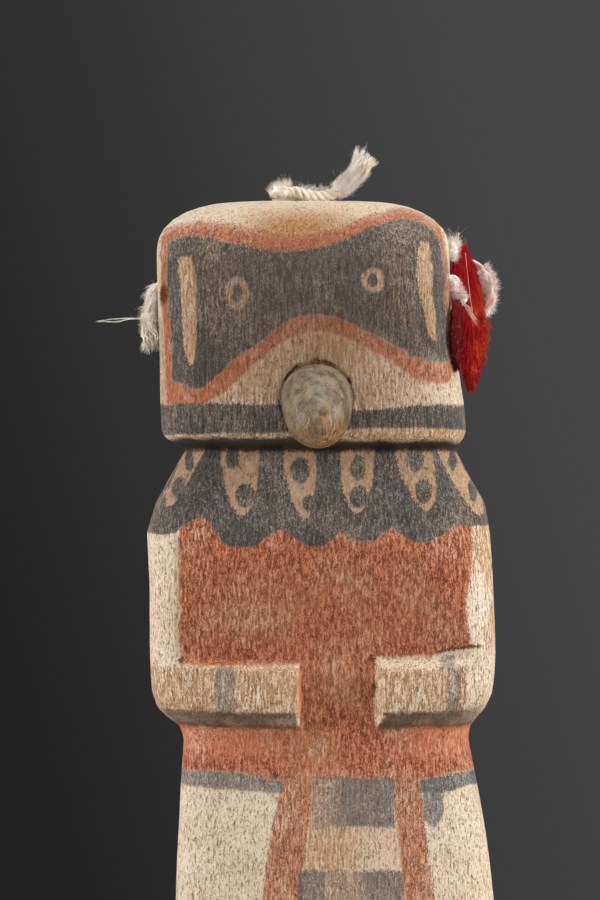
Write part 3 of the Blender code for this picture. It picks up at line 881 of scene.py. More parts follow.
face = {
    "mask": {
        "left": ((165.0, -27.9), (172.0, -28.0), (182.0, -28.8), (192.0, -29.0)),
        "right": ((168.0, 23.4), (180.0, 23.1), (188.0, 22.6), (193.0, 21.6), (196.5, 19.5)),
        "foot": (
            (-29.0, 165.6), (-26.8, 165.6), (-23.9, 164.5), (-20.9, 165.6), (-16.7, 169.3), (-12.5, 172.4),
            (-8.2, 175.7), (-4.0, 177.7), (-1.0, 178.1), (1.5, 177.7), (8.7, 174.8), (14.9, 171.5), (19.2, 169.6),
            (24.0, 169.4),
        ),
        "top": (
            (-29.5, 190.6), (-27.4, 192.2), (-23.9, 192.8), (-16.7, 191.3), (-6.6, 189.9), (-1.0, 190.4),
            (4.5, 192.1), (10.7, 195.0), (15.0, 196.1), (19.2, 195.2), (21.3, 193.2), (23.5, 189.5),
        ),
    },
    "red": {
        "left": ((162.0, -29.3), (175.0, -29.7), (195.0, -30.4)),
        "right": ((165.0, 24.1), (182.0, 23.7), (190.0, 23.2), (196.0, 21.8)),
        "foot": (
            (-29.5, 161.9), (-23.9, 161.4), (-20.5, 162.2), (-16.7, 165.0), (-12.5, 169.0), (-8.2, 172.2),
            (-4.0, 174.3), (-1.0, 174.8), (1.5, 174.6), (8.7, 171.4), (14.9, 167.6), (19.2, 165.5), (24.5, 165.8),
        ),
        "top": (
            (-30.0, 194.0), (-26.0, 195.6), (-22.0, 195.9), (-14.0, 194.6), (-6.0, 193.2), (0.0, 193.6),
            (6.0, 195.6), (11.0, 197.6), (15.5, 198.3), (20.0, 197.2), (24.0, 193.6),
        ),
    },
    "bars": (
        {
            "left": ((168.5, -24.6), (172.0, -25.6), (180.0, -26.3), (189.0, -26.7)),
            "right": ((168.5, -24.2), (172.0, -23.4), (176.0, -23.2), (187.0, -23.9), (189.0, -24.8)),
            "foot": 168.6,
            "top": 188.9,
        },
        {
            "left": ((173.2, 20.9), (176.0, 19.4), (189.0, 17.5), (190.6, 18.0)),
            "right": ((173.2, 21.3), (176.0, 21.2), (182.0, 20.7), (191.6, 19.9)),
            "foot": 173.2,
            "top": 191.8,
        },
    ),
    "rings": (
        {"centre": (-15.7, 181.8), "outer": (2.15, 3.1), "inner": (1.0, 1.65), "strength": 0.72},
        {"centre": (9.25, 184.4), "outer": (2.05, 2.35), "inner": (0.95, 1.2), "strength": 1.0},
    ),
    "chinTop": ((-32.0, 161.5), (-20.0, 161.7), (-8.0, 161.3), (6.0, 160.7), (18.0, 161.3), (28.0, 161.5)),
    "chinFoot": ((-32.0, 155.9), (-10.0, 156.2), (2.0, 156.4), (12.0, 157.2), (22.0, 157.0), (28.0, 156.4)),
    "neckTop": (
        (-32.0, 154.0), (-29.5, 154.3), (-27.0, 155.2), (-8.0, 155.4), (-3.0, 155.3), (6.0, 154.9), (22.0, 154.8),
        (25.0, 154.4), (28.0, 154.0),
    ),
}

dress = {
    "ruffFoot": (
        (-33.0, 137.6), (-29.5, 137.5), (-26.5, 138.6), (-24.2, 140.1), (-22.6, 140.7, "cusp"), (-21.2, 139.9),
        (-19.5, 137.5), (-17.6, 135.6), (-15.5, 135.0), (-12.9, 135.2), (-10.8, 136.6), (-8.7, 138.0),
        (-7.2, 138.7, "cusp"), (-5.7, 137.1), (-3.6, 135.7), (-1.1, 135.1), (1.0, 135.9), (2.3, 137.1),
        (3.1, 137.9, "cusp"), (4.4, 137.1), (7.0, 136.2), (9.1, 136.4), (10.8, 137.4), (12.7, 138.8, "cusp"),
        (14.2, 137.6), (15.8, 136.6), (18.4, 136.0), (20.9, 136.7), (23.1, 138.2), (24.5, 139.4, "cusp"),
        (26.0, 139.0), (33.0, 139.2),
    ),
    "chest": {
        "left": -26.5,
        "right": ((112.0, 27.0), (118.0, 27.3), (124.0, 26.6), (131.0, 27.6), (139.0, 27.6)),
        "foot": (
            (-27.0, 113.2), (-10.0, 113.3), (-6.0, 113.6), (6.0, 114.6), (19.0, 115.0), (23.0, 115.9), (28.0, 116.4),
        ),
    },
    "backHalf": 25.5,
    "belly": {"left": -4.3, "right": 9.8, "foot": 99.0, "top": 116.5},
    "waistTop": 102.2,
    "beltTop": (
        (-34.0, 92.8), (-26.0, 92.9), (-22.0, 93.3), (-14.0, 93.1), (-7.5, 91.9), (5.0, 92.0), (17.9, 91.9),
        (22.4, 92.7), (28.3, 93.0), (34.0, 93.0),
    ),
    "beltFoot": (
        (-34.0, 90.1), (-26.0, 90.2), (-15.5, 90.0), (-7.8, 89.5), (5.0, 89.3), (21.9, 89.4), (28.4, 90.2),
        (34.0, 90.2),
    ),
    "beltGap": (-7.6, 18.0),
    "tongue": {"x": 20.5, "top": 91.0, "foot": 82.6, "half": 1.9},
    "stripes": (
        {"left": ((32.0, -14.8), (69.9, -11.2), (92.0, -7.6)), "right": ((32.0, -7.4), (69.9, -4.2), (92.0, -1.7))},
        {"left": ((32.0, 18.0), (69.9, 15.1), (92.0, 12.9)), "right": ((32.0, 24.6), (69.9, 20.6), (92.0, 17.9))},
    ),
    "upperSash": {"left": -1.8, "right": 13.4, "foot": 83.3, "top": 92.4},
    "lowerSash": {"left": -4.6, "right": 15.0, "foot": 59.0, "top": 75.2},
    "sashGround": {"left": -4.0, "right": 14.4, "foot": 37.8, "top": 92.0},
    "hem": (29.0, 37.5),
    "wrists": (
        {"left": -19.9, "right": -16.4, "foot": 104.4, "top": 113.0},
        {"left": 22.9, "right": 25.7, "foot": 103.0, "top": 112.6},
    ),
    "cuffTop": ((23.1, 113.8), (1.5, 1.3)),
}

ruffFeathers = tuple(
    {"top": top, "foot": foot, "half": half, "high": high, "low": low}
    for top, foot, half, high, low in (
        ((-23.6, 154.0), (-28.9, 142.2), 1.9, (-24.9, 151.0, 0.95, 2.0), (-26.8, 145.8, 1.4, 1.9)),
        ((-15.4, 156.0), (-14.9, 140.6), 3.5, (-16.5, 151.6, 1.35, 2.2), (-14.3, 144.6, 1.75, 2.2)),
        ((-4.7, 156.0), (-3.2, 140.2), 2.9, (-4.1, 149.2, 1.6, 2.5), (-2.4, 143.2, 1.3, 1.6)),
        ((6.4, 156.0), (6.4, 141.2), 3.2, (6.5, 149.6, 1.4, 2.3), (6.7, 144.4, 1.8, 2.0)),
        ((16.2, 156.0), (19.3, 141.6), 3.5, (17.2, 151.5, 1.6, 2.5), (18.7, 145.3, 1.6, 2.3)),
        ((23.3, 154.6), (29.6, 140.8), 2.7, (24.4, 151.1, 0.8, 1.9), (28.2, 145.7, 0.95, 2.1)),
    )
)
ruffRound = {
    "pitch": 11.47,
    "start": -4.4,
    "sideWidth": 29.0,
    "frontDepth": 13.0,
    "leaf": {
        "top": (-0.4, 156.0),
        "foot": (0.6, 141.4),
        "half": 3.0,
        "high": (-0.2, 150.6, 1.4, 2.3),
        "low": (0.5, 144.8, 1.6, 2.1),
    },
}

# Worn and stained places, and the painted shade on the middle of the face, as ovals: centre, radii, softness and
# strength
wear = {
    "cheekMiddle": (((-3.5, 168.5), (24.0, 9.0), 0.75, 1.0),),
    "ochreStains": (
        ((-4.4, 194.4), (9.5, 3.0), 0.75, 1.15),
        ((0.4, 172.6), (7.0, 4.0), 0.75, 0.6),
        ((1.0, 79.5), (6.5, 4.0), 0.75, 0.3),
        ((-27.0, 126.0), (0.5, 14.0), 0.3, 0.55),
    ),
    "redOchre": (
        ((3.0, 123.0), (24.0, 7.0), 0.75, 0.45),
        ((2.0, 108.0), (7.0, 9.0), 0.75, 0.4),
        ((-5.0, 97.5), (10.0, 5.0), 0.75, 0.55),
    ),
    "rubbed": (((15.4, 182.0), (4.5, 10.0), 0.75, 1.0), ((-19.8, 184.0), (3.5, 8.0), 0.75, 1.0)),
    "sashMiddle": (((3.8, 70.0), (3.6, 9.0), 0.5, 1.0),),
    # painted shade on the middle of the face
    "faceMiddleShade": (((-2.0, 179.0), (25.0, 15.0), 0.75, 0.42),),
    "earHole": (((-29.6, 182.2), (0.8, 1.9), 0.3, 1.0),),
    "dots": tuple(
        (centre, (0.55, 0.6), 0.4, 0.85) for centre in ((-26.1, 114.1), (8.9, 114.4), (9.6, 109.6), (-8.8, 93.0))
    ),
    "crack": ((20.0, 115.4), (25.0, 116.2), (30.0, 116.8)),
    "seat": (-1.06, 162.75),
    "seatRadius": 6.85,
    "shakes": ((210.0, 1.1, 0.3), (1500.0, 0.6, 0.7)),
}


def makeFigureMaterial():
    material, surface = newMaterial("paintedRootWood")
    where = objectPlace()
    fibres, flecks, pores, blotches = grainOf(where, 1.0)
    tone = {name: shade(*value) for name, value in paint.items()}

    # Place in millimetres, shaken a little so that no painted edge is ruled
    stray = minus(flecks, 0.5)
    creep = result("ShaderNodeCombineXYZ", {"X": stray, "Z": times(stray, 1.4)})
    shakes = [
        noiseShift(vectors("ADD", where, (seed, 0.0, seed)), scale, 2.0, amount)
        for scale, amount, seed in wear["shakes"]
    ]
    shaken = vectors("ADD", scaled(where, 1000.0), vectors("ADD", *shakes))
    x, y, z = separate(vectors("ADD", shaken, creep))
    middleY = eye["axisY"] * 1000
    front = ease(y, middleY - 1.5, middleY - 3.5)

    def level(points):
        return edgeCurve(x, points)

    def patch(softness, left, right, foot=None, top=None):
        # Inside four edges, each a plain number or the points of a curve
        left, right = (edgeCurve(z, edge) if isinstance(edge, tuple) else edge for edge in (left, right))
        foot, top = (level(edge) if isinstance(edge, tuple) else edge for edge in (foot, top))
        distances = [minus(x, left), minus(right, x)]
        distances += [] if foot is None else [minus(z, foot)]
        distances += [] if top is None else [minus(top, z)]
        return inside(softness, *distances)

    def spots(name):
        return either(*[times(oval(x, z, *spot), amount) for *spot, amount in wear[name]])

    # Face
    mask = times(patch(0.35, **face["mask"]), front)
    band = times(patch(0.42, **face["red"]), front, outside(mask))
    bars = [patch(0.25, **bar) for bar in face["bars"]]
    rings = []
    for ring in face["rings"]:
        hole = oval(x, z, ring["centre"], ring["inner"], 0.22)
        rings.append(times(oval(x, z, ring["centre"], ring["outer"], 0.14), outside(hole), ring["strength"]))
    reserved = either(*bars, *rings)
    head = ease(z, 153.8, 154.6)
    body = outside(head)
    chinFoot = level(face["chinFoot"])
    chin = times(bounds(z, chinFoot, level(face["chinTop"]), 0.3), head)

    # Ruff: six feathers in front, and evenly spaced ones round the sides and back
    ruff = times(ease(minus(z, level(dress["ruffFoot"])), -0.2, 0.2), body)
    ruffFront = ease(y, 2.6, 1.2)
    leaves = [times(ruffLeaf(x, z, leaf), ruffFront) for leaf in ruffFeathers]
    wide = maths("ABSOLUTE", x)
    deep = maths("MAXIMUM", plus(y, ruffRound["frontDepth"] - middleY), 0.0)
    isBack = maths("GREATER_THAN", y, middleY)
    reach = mixedValue(isBack, wide, minus(2 * ruffRound["sideWidth"], wide))
    arc = times(plus(reach, deep), maths("SIGN", x))
    count = maths("DIVIDE", minus(arc, ruffRound["start"]), ruffRound["pitch"])
    local = times(minus(count, maths("ROUND", count)), ruffRound["pitch"])
    roundAbout = times(ruffLeaf(local, z, ruffRound["leaf"]), outside(ruffFront))
    bare = times(either(*leaves, roundAbout), ruff)

    # Chest, belly and waist
    torso = times(patch(0.4, **dress["chest"]), outside(ruff), body)
    between = patch(0.3, **dress["belly"])
    beltTop = level(dress["beltTop"])
    waist = bounds(z, beltTop, dress["waistTop"], 0.3)
    backTorso = inside(0.3, minus(dress["backHalf"], wide), minus(z, 95.0), outside(ruff))
    red = either(band, torso, times(between, front), waist, times(backTorso, isBack, body))

    # Kilt, its stripes and sash
    stripes = either(*[patch(0.3, **stripe) for stripe in dress["stripes"]])
    red = either(red, times(stripes, front, ease(z, 93.6, 92.4), ease(z, 37.3, 37.8)))
    upper, lower = (patch(0.35, **dress[name]) for name in ("upperSash", "lowerSash"))
    middle = patch(0.4, **dress["sashGround"])
    belt = bounds(z, level(dress["beltFoot"]), beltTop, 0.2)
    belt = times(belt, outside(times(front, patch(0.3, *dress["beltGap"]))))
    tongue = dress["tongue"]
    taper = times(ease(z, tongue["foot"] - 1.0, tongue["foot"] + 3.0), tongue["half"])
    aside = minus(taper, maths("ABSOLUTE", minus(x, tongue["x"])))
    tip = inside(0.25, aside, minus(z, tongue["foot"]), minus(tongue["top"], z))
    hem = bounds(z, *dress["hem"], 0.3)
    cuffs = [patch(0.3, **wrist) for wrist in dress["wrists"]]
    cuff = times(either(*cuffs, oval(x, z, *dress["cuffTop"], 0.3)), front)
    onKilt = ease(z, 31.5, 32.0)
    grey = either(times(either(upper, lower, tip), front), times(either(belt, hem), onKilt), times(cuff, 0.85))
    maskLeft = times(mask, outside(reserved))
    dark = either(maskLeft, chin, times(ruff, outside(bare)))

    # How much ground and paint are left, and where
    armFront = times(front, bounds(z, 103.5, 113.0, 0.5), outside(between), fitted(ease(x, 27.5, 25.5), 0.85, 0.15))
    cheek = times(front, bounds(z, 160.8, 178.0, 0.5), outside(band), outside(mask))
    neckTop = level(face["neckTop"])
    # Painted shadow: a near-black band in the neck groove under the head's rim
    neckShadow = bounds(z, 152.8, neckTop, 0.4)
    sideWood = either(ease(x, 29.2, 31.0), times(ease(x, 26.4, 27.0), ease(z, 128.0, 132.0)))
    wornWood = either(
        armFront,
        times(cheek, fitted(spots("cheekMiddle"), 0.45, 0.55)),
        bounds(z, neckTop, chinFoot, 0.25),
        ease(z, 1.2, 0.4),
        times(reserved, 0.9),
        times(bare, 0.85),
        times(middle, front, ease(x, 10.5, 3.5), 0.9),
        times(front, sideWood, bounds(z, 116.0, 141.0, 1.5), 0.85),
        times(either(upper, lower), front),
        either(mask, chin, ruff),
        times(red, 0.7),
    )
    rough = plus(times(fibres, 0.55), plus(times(flecks, 0.25), times(blotches, 0.20)))
    poreMask = ease(pores, 0.60, 0.70)
    creamLeft = ease(minus(rough, times(wornWood, 0.17)), 0.31, 0.45)
    creamLeft = times(creamLeft, outside(times(poreMask, 0.85)))

    # Bare wood and cream ground
    woodShare = ease(plus(times(fibres, 0.6), times(flecks, 0.4)), 0.36, 0.60)
    wood = mixed(woodShare, tone["woodDeep"], tone["woodLight"])
    speckle = plus(times(blotches, 0.25), plus(times(flecks, 0.45), times(fibres, 0.30)))
    cream = mixed(ease(speckle, 0.40, 0.58), tone["creamDeep"], tone["creamLight"])
    colour = mixed(creamLeft, wood, cream)

    def cover(amount, top):
        nonlocal colour
        colour = mixed(amount, colour, tone[top] if isinstance(top, str) else top)

    cover(times(either(maskLeft, chin, ruff), 0.42), "dirtAndShade")
    # Painted light: the cheeks lighten towards the viewer's right, where the stronger lamp falls
    cheekToneAndLight = mixed(ease(x, 12.0, 26.0), tone["cheek"], tone["crown"])
    cover(times(cheek, fitted(ease(x, 10.0, 20.0), 0.25, 0.35)), cheekToneAndLight)
    pale = either(times(bare, 0.5), times(reserved, 0.4), times(middle, front, 0.35))
    cover(pale, "tan")
    cover(times(ease(z, 193.5, 196.5), outside(band), 0.62), "crown")
    # Old ochre stains soak into wood and ground alike
    soaked = times(spots("ochreStains"), front, fitted(ease(rough, 0.60, 0.44), 0.25, 0.6))
    cover(soaked, "ochre")

    # Red paint
    streaks = noise(squashed(where, 0.22), 2100.0, 2.0, 0.7)
    mottle = plus(times(streaks, 0.55), times(flecks, 0.45))
    mottle = mixedValue(times(head, 0.75), mottle, 0.51)
    redTone = mixed(ease(mottle, 0.40, 0.60), tone["redDeep"], tone["redLight"])
    ochreOver = times(front, spots("redOchre"), ease(blotches, 0.35, 0.55))
    redTone = mixed(ochreOver, redTone, tone["redOchre"])
    # Painted light: the waist's red is lighter towards its sides
    waistSidesPaintedLight = times(bounds(z, 96.0, 105.0, 1.5), ease(maths("ABSOLUTE", minus(x, 2.0)), 7.0, 17.0), 0.5)
    redTone = mixed(waistSidesPaintedLight, redTone, tone["redPaintedLight"])
    redLeft = fitted(ease(plus(times(streaks, 0.6), times(blotches, 0.4)), 0.66, 0.46), 0.32, 0.64)
    underTop = minus(level(face["red"]["top"]), z)
    fade = either(body, fitted(ease(underTop, -0.4, 2.0), 0.6, 0.4))
    redLeft = times(redLeft, fade, fitted(ease(z, 95.0, 91.0), -0.22, 1.0))
    cover(times(red, redLeft), redTone)

    # Dark and grey paint
    darkTone = mixed(ease(rough, 0.40, 0.56), tone["darkDeep"], tone["darkLight"])
    worn = fitted(minus(blotches, 0.5), 0.4, plus(times(fibres, 0.25), times(flecks, 0.75)))
    darkLeft = fitted(ease(worn, 0.66, 0.48), 0.48, 0.49)
    darkLeft = fitted(times(spots("rubbed"), ease(streaks, 0.46, 0.56)), -0.42, darkLeft)
    cover(times(dark, darkLeft), darkTone)
    faded = either(times(upper, ease(x, 5.0, -1.0)), times(lower, spots("sashMiddle")), times(cuff, 0.5))
    greyLeft = fitted(darkLeft, 0.75, fitted(faded, -0.35, 0.10))
    greyLeft = plus(greyLeft, times(belt, ease(x, 10.0, 18.0), 0.15))
    cover(times(grey, greyLeft), "grey")

    # Painted shade on the middle of the face; near-black painted shadow in the neck groove under the head; dark
    # grime round the beak's seat
    cover(times(spots("faceMiddleShade"), front, head), "dirtAndShade")
    seatEdge = maths("ABSOLUTE", minus(farFrom(x, z, wear["seat"]), wear["seatRadius"]))
    seat = times(ease(seatEdge, 0.36, 0.1), front, ease(noise(where, 240.0), 0.46, 0.56), 0.85)
    cover(either(times(neckShadow, 0.93), seat), "sootAndShadow")
    cover(times(spots("earHole"), front), "hole")

    # Moccasins
    shoe = times(ease(z, 13.2, 12.4), ease(z, 1.6, 2.2), redLeft, 0.85)
    cover(shoe, mixed(ease(blotches, 0.4, 0.6), tone["redDeep"], tone["moccasin"]))

    # Painted shade, with dirt, on the down-facing undersides of the forearms and in the hollows; dark pores and
    # pits, and bare wood on the sharp edges
    shape = put("ShaderNodeNewGeometry").outputs
    under = times(ease(separate(shape["Normal"])[2], -0.15, -0.6), bounds(z, 101.5, 106.0, 0.5))
    under = times(under, ease(wide, 32.0, 28.0), fitted(ease(blotches, 0.4, 0.6), 0.3, 0.6))
    cover(under, "dirtAndShade")
    # Painted shade, with dirt, in the hollows of the carving
    hollowShadeAndDirt = times(ease(shape["Pointiness"], 0.49, 0.455), outside(neckShadow), 0.55)
    cover(hollowShadeAndDirt, "dirtAndShade")
    ridge = times(ease(shape["Pointiness"], 0.525, 0.56), ease(rough, 0.42, 0.54), outside(mask), 0.7)
    cover(ridge, "woodLight")
    deepPits = ease(noise(squashed(where, 0.35), 2300.0, 1.0, 0.5, 0.2), 0.62, 0.72)
    offCrack = maths("ABSOLUTE", minus(z, level(wear["crack"])))
    crack = times(front, inside(0.2, minus(0.32, offCrack), minus(x, 21.0), minus(29.4, x)), 0.9)
    marks = either(times(poreMask, 0.24), times(deepPits, 0.45), crack, times(front, spots("dots")))
    cover(marks, "pit")

    ridges = plus(times(fibres, 0.65), times(flecks, 0.45))
    height = minus(ridges, plus(times(poreMask, 0.5), times(deepPits, 0.8)))
    finishSurface(surface, colour, fitted(rough, 0.25, 0.74), 0.28, height, 1.0, 0.00026)
    return material


def makeFigure():
    figure = carved("carved_figure_painted", "carved_figure", carving, makeFigureMaterial())
    print("figure triangles", triangleCount(figure))
    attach(figure, "root")
    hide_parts("carved_figure")


makeFigure()


# The beak
print("beak")

beakCarving = {
    "voxel": 0.00020,
    "smoothing": 14,
    "triangles": 60000,
    "knifeDepth": 0.00050,
    "fibreDepth": 0.00006,
    "pitDepth": 0.00005,
}
beakPaint = {
    "grey": (138, 122, 96),
    "greyDeep": (72, 62, 46),
    "brown": (178, 126, 64),
    "brownDeep": (62, 42, 22),
}


def makeBeakMaterial():
    material, surface = newMaterial("polishedBeakWood")
    where = objectPlace()
    fibres, flecks, _, blotches = grainOf(where, 0.8)
    tone = {name: shade(*value) for name, value in beakPaint.items()}
    x, _, z = separate(scaled(where, 1000.0))
    soft = noise(squashed(where, 0.6), 420.0, 4.0, 0.7)
    greyShare = ease(plus(times(soft, 0.7), times(flecks, 0.3)), 0.36, 0.62)
    grey = mixed(greyShare, tone["greyDeep"], tone["grey"])
    brown = mixed(ease(fibres, 0.38, 0.60), tone["brownDeep"], tone["brown"])
    low = ease(plus(z, times(minus(soft, 0.5), 16.0)), 162.0, 155.0)
    ridge = ease(maths("ABSOLUTE", minus(x, 1.2)), 4.2, 1.0)
    streak = times(ridge, ease(blotches, 0.44, 0.60), 0.75)
    worn = times(either(times(low, fitted(ridge, 0.6, 0.4)), streak), 0.85)
    height = plus(times(flecks, 0.25), times(soft, 0.75))
    finishSurface(surface, mixed(worn, grey, brown), fitted(soft, 0.5, 0.18), 0.45, height, 0.7, 0.0005)
    return material


def makeBeak():
    beak = carved("beak_carved", "beak", beakCarving, makeBeakMaterial())
    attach(beak, "root")
    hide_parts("beak")


makeBeak()


# Feathers: a thin vane under rows of barbs, on a pale shaft
print("feathers")

outerFeather = {
    "steps": (
        (0.0023, 0.0038, 0.0063),
        (0.0027, 0.0038, 0.0026),
        (0.0035, 0.0038, -0.0044),
        (0.0044, 0.0039, -0.0101),
        (0.0043, 0.0039, -0.0158),
        (0.0041, 0.0037, -0.0224),
    ),
    "turn": 35.0,
    "width": 0.0074,
    "thickness": 0.0013,
    "barbs": 5200,
    "topSpread": 0.34,
    "shaft": 24,
    "light": (226, 84, 42),
    "deep": (186, 10, 20),
    "low": (150, 40, 26),
}
innerFeather = {
    "steps": (
        (0.0013, -0.0030, -0.0046),
        (0.0010, -0.0043, -0.0070),
        (0.0009, -0.0054, -0.0120),
        (0.0012, -0.0057, -0.0180),
    ),
    "turn": 55.0,
    "width": 0.0036,
    "thickness": 0.0010,
    "barbs": 1900,
    "topSpread": 0.3,
    "shaft": 0,
    # Darker than the outer feather: partly painted shade, as this feather sits in shade between the head and the
    # outer feather
    "light": (156, 10, 7),
    "deep": (116, 2, 3),
    "low": (96, 8, 6),
}
vane = {"start": 0.04, "fullness": 0.8, "bluntness": 0.7, "least": (0.0002, 0.00015)}
quill = {
    "light": (236, 190, 160),
    "deep": (196, 120, 96),
    "speck": (222, 150, 120),
    "firstPoint": 4,
    "thick": (0.00010, 0.00005),
}


def makeBarbTree():
    # Soft barbs that start all over a vane, fan out to its sides and lean towards its tip
    numbers = ("Half Width", "Half Thickness", "Top Spread", "Lean", "Thickness")
    tree, given, out = startGeometry("featherBarbs", Int=("Barbs", "Seed"), Float=numbers, Vector=["Across"])
    seed, across = given["Seed"], given["Across"]
    path = result("GeometryNodeMeshToCurve", {"Mesh": given["Geometry"]})
    roots = put("GeometryNodeCurveToPoints", {"Curve": path, "Count": given["Barbs"]}).outputs
    index = result("GeometryNodeInputIndex")
    share = maths("DIVIDE", index, given["Barbs"])
    side = minus(times(maths("MODULO", index, 2.0), 2.0), 1.0)
    bent = maths("SINE", times(maths("POWER", share, vane["fullness"]), math.pi))
    spread = maths("POWER", maths("MAXIMUM", bent, 0.0), vane["bluntness"])
    spread = maths("MAXIMUM", spread, times(given["Top Spread"], ease(share, 0.30, 0.0)))
    half = times(given["Half Width"], spread)
    tangent = roots["Tangent"]
    facing = vectors("CROSS_PRODUCT", tangent, across)
    upOrDown = maths("SIGN", randomShare(seed, 2.0, -1.0, 1.0))
    offCentre = randomShare(seed, 4.0, 0.0, 0.85)
    outwards = scaled(across, times(side, fitted(offCentre, 0.7, 0.3)))
    along = scaled(tangent, times(given["Lean"], randomShare(seed, 1.0, 0.6, 1.5)))
    lifted = scaled(facing, times(upOrDown, randomShare(seed, 5.0, 0.02, 0.35)))
    heading = vectors("ADD", vectors("ADD", outwards, along), lifted)
    sideways = scaled(across, times(side, times(offCentre, half)))
    rounding = minus(1.0, times(offCentre, offCentre))
    upwards = scaled(facing, times(upOrDown, times(given["Half Thickness"], rounding)))
    starts = shifted(roots[0], vectors("ADD", sideways, upwards))
    reach = plus(times(half, randomShare(seed, 3.0, 0.25, 0.62)), 0.0005)
    barbs, way = grownHairs(starts, heading, reach)
    droop = result("ShaderNodeCombineXYZ", {"Z": times(maths("POWER", way, 2.0), -0.0007)})
    moved = shifted(barbs, vectors("ADD", droop, noiseStep(900.0, times(way, 0.0009), 6.1)))
    thin = times(given["Thickness"], minus(1.0, times(way, 0.75)))
    asTubes(out, moved, thin, 3, given["Material"])
    return tree


barbTree = makeBarbTree()


def featherMaterial(name, feather):
    material, surface = newMaterial(name)
    where = objectPlace()
    light, deep, low = (shade(*feather[key]) for key in ("light", "deep", "low"))
    tint = placed(hairTint, {"Vector": where, "Light": light, "Deep": deep})
    x, _, z = separate(scaled(where, 1000.0))
    patches = minus(noise(where, 260.0, 2.0), 0.5)
    right = plus(x, times(patches, 9.0))
    lowness = plus(z, times(patches, 14.0))
    middle = times(ease(right, 27.5, 30.0), ease(lowness, 186.5, 182.5), ease(lowness, 164.0, 170.0))
    colour = mixed(times(ease(lowness, 170.0, 163.0), 0.7), mixed(middle, deep, tint["Color"]), low)
    specks = times(ease(noise(where, 2400.0, 1.0), 0.66, 0.74), ease(lowness, 180.0, 174.0), 0.5)
    colour = mixed(specks, colour, shade(*quill["speck"]))
    finishSurface(surface, colour, 0.7, 0.25, tint["Height"], 0.6, 0.0002)
    return material


def makeShaftMaterial():
    material, surface = newMaterial("quillHorn")
    share = ease(noise(squashed(objectPlace(), 0.1), 3000.0), 0.4, 0.6)
    finishSurface(surface, mixed(share, shade(*quill["deep"]), shade(*quill["light"])), 0.45)
    return material


shaftMaterial = makeShaftMaterial()


def tubeMesh(name, points, half, thick, material, across=(1.0, 0.0, 0.0), sides=12):
    # A closed tube along points, with its half width across a direction and its half thickness
    along = np.gradient(points, axis=0)
    along /= np.linalg.norm(along, axis=1)[:, None]
    wide = np.tile(np.array(across, dtype=float), (len(points), 1))
    wide -= along * (wide * along).sum(axis=1)[:, None]
    wide /= np.linalg.norm(wide, axis=1)[:, None]
    flat = np.cross(along, wide)
    angles = np.arange(sides) * 2 * math.pi / sides
    rings = points[:, None] + wide[:, None] * (half[:, None] * np.cos(angles))[..., None]
    rings = rings + flat[:, None] * (thick[:, None] * np.sin(angles))[..., None]
    shape = bmesh.new()
    verts = [[shape.verts.new(point) for point in ring] for ring in rings]
    for lower, upper in zip(verts, verts[1:]):
        for k in range(sides):
            after = (k + 1) % sides
            shape.faces.new((lower[k], lower[after], upper[after], upper[k]))
    shape.faces.new(verts[0][::-1])
    shape.faces.new(verts[-1])
    bmesh.ops.recalc_face_normals(shape, faces=shape.faces)
    return addMesh(name, shape, material)


def makeFeather(name, node, feather, material, seed):
    mouth = np.array(rightCord["mouth"])
    spine = smoothPath([mouth + np.array(step) for step in feather["steps"]], 60)[:57]
    turn = math.radians(feather["turn"])
    across = (math.cos(turn), math.sin(turn), 0.0)
    share = np.clip((np.linspace(0, 1, len(spine)) - vane["start"]) / (1 - vane["start"]), 0, 1)
    spread = np.clip(np.sin(math.pi * share ** vane["fullness"]), 0, None) ** vane["bluntness"]
    least, thinnest = vane["least"]
    half = least + (feather["width"] / 2 * 0.72 - least) * spread
    thick = thinnest + (feather["thickness"] * 0.36 - thinnest) * spread
    parts = [tubeMesh(name + "Vane", spine, half, thick, material, across, 20)]
    forward = np.array((math.sin(turn), -math.cos(turn), 0.0)) * feather["thickness"] * 0.42
    if feather["shaft"]:
        line = (spine + forward * 1.7)[quill["firstPoint"] : quill["firstPoint"] + feather["shaft"]]
        radii = np.linspace(*quill["thick"], feather["shaft"])
        parts.append(tubeMesh(name + "Shaft", line, radii, radii, shaftMaterial))
    inputs = {
        "Barbs": feather["barbs"],
        "Half Width": feather["width"] / 2,
        "Half Thickness": feather["thickness"] / 2,
        "Top Spread": feather["topSpread"],
        "Across": across,
        "Lean": 1.5,
        "Thickness": 0.00008,
        "Seed": seed,
        "Material": material,
    }
    parts.append(settled(name + "Barbs", lineObject(name + "Line", spine), barbTree, inputs))
    whole = join(name, *parts)
    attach(whole, "root")
    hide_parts(node)
    return whole


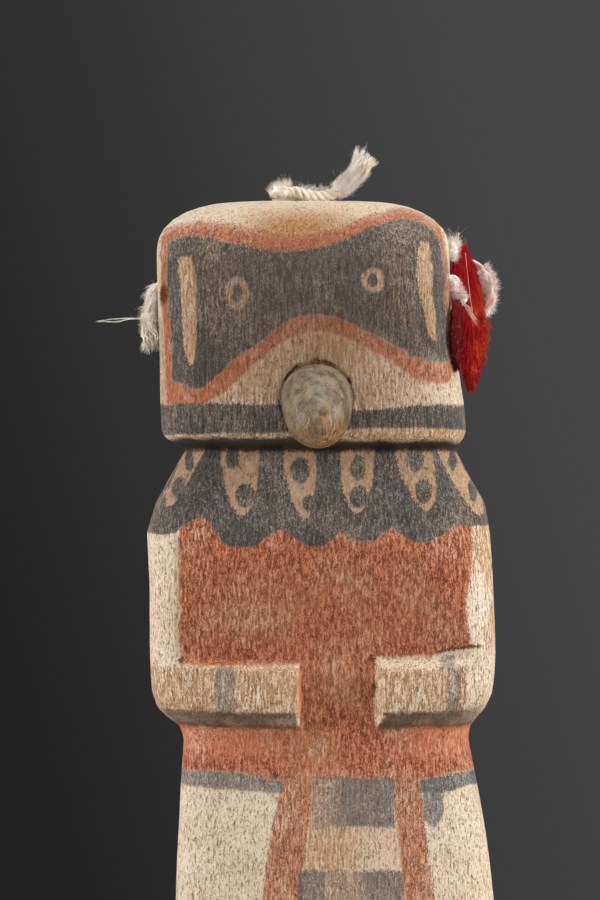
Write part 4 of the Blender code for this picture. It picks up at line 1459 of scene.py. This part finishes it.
def makeEarDressing():
    featherColour = featherMaterial("crimsonDye", outerFeather)
    outer = makeFeather("outer_feather_dressed", "red_feather_outer", outerFeather, featherColour, 31)
    # The inner feather's darker colours are partly painted shade
    featherColour = featherMaterial("crimsonDyeWithPaintedShade", innerFeather)
    inner = makeFeather("inner_feather_dressed", "red_feather_inner", innerFeather, featherColour, 41)
    path = cordPath(rightCord)
    cord = twistCord("right_ear_cord_twist", rightCord, pinkCotton, plies=2, yarns=9)
    thicken(cord, path, rightCord["bulk"])
    knot = (0.0022, -0.0026, -0.0050)
    front = strand(rightCord, 40, (0.0005, -0.0012, -0.0012), (0.0009, -0.0022, -0.0026), knot)
    hang = strand(rightCord, 40, knot, (0.0034, -0.0022, -0.0066), (0.0044, -0.0018, -0.0082))
    top = strand(rightCord, 40, (0.0001, 0.0009, 0.0028), (0.0006, 0.0011, 0.0048), (0.0010, 0.0018, 0.0066))
    loose = join(
        "right_ear_fuzz",
        wad("rightTopWad", top[20], (0.0008, 0.0008, 0.0016), 7.0),
        wad("rightFrontWad", front[14], (0.0008, 0.0007, 0.0012), 3.0, pinkCotton),
        wad("rightLowWad", front[36], (0.0009, 0.0006, 0.0010), 4.0),
        fuzz("rightTop", top, 1100, 0.0010, 0.0012, 0.0014, 51, lean=0.2),
        fuzz("rightEnd", path, 60, 0.0004, 0.0014, 0.0020, 56, 0.90, 0.99, 0.4),
        fuzz("rightLoop", path, 1100, 0.0010, 0.0010, 0.0012, 52, 0.50, 0.69, pink=True),
        fuzz("rightPuff", path, 1300, 0.0013, 0.0013, 0.0018, 57, 0.66, 0.78, pink=True),
        fuzz("rightFront", front, 1300, 0.0011, 0.0011, 0.0013, 53, lean=0.3, pink=True),
        fuzz("rightLow", front, 420, 0.0012, 0.0010, 0.0012, 58, 0.7, 1.0),
        fuzz("rightHang", hang, 100, 0.0002, 0.0018, 0.0004, 54, lean=4.0),
        fuzz("rightWisps", top, 44, 0.0008, 0.0040, 0.0034, 55, 0.6, 1.0, 1.6, 0.00002),
    )
    for piece in (cord, loose):
        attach(piece, "root")
    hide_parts("right_ear_cord")


makeEarDressing()


print("finish")
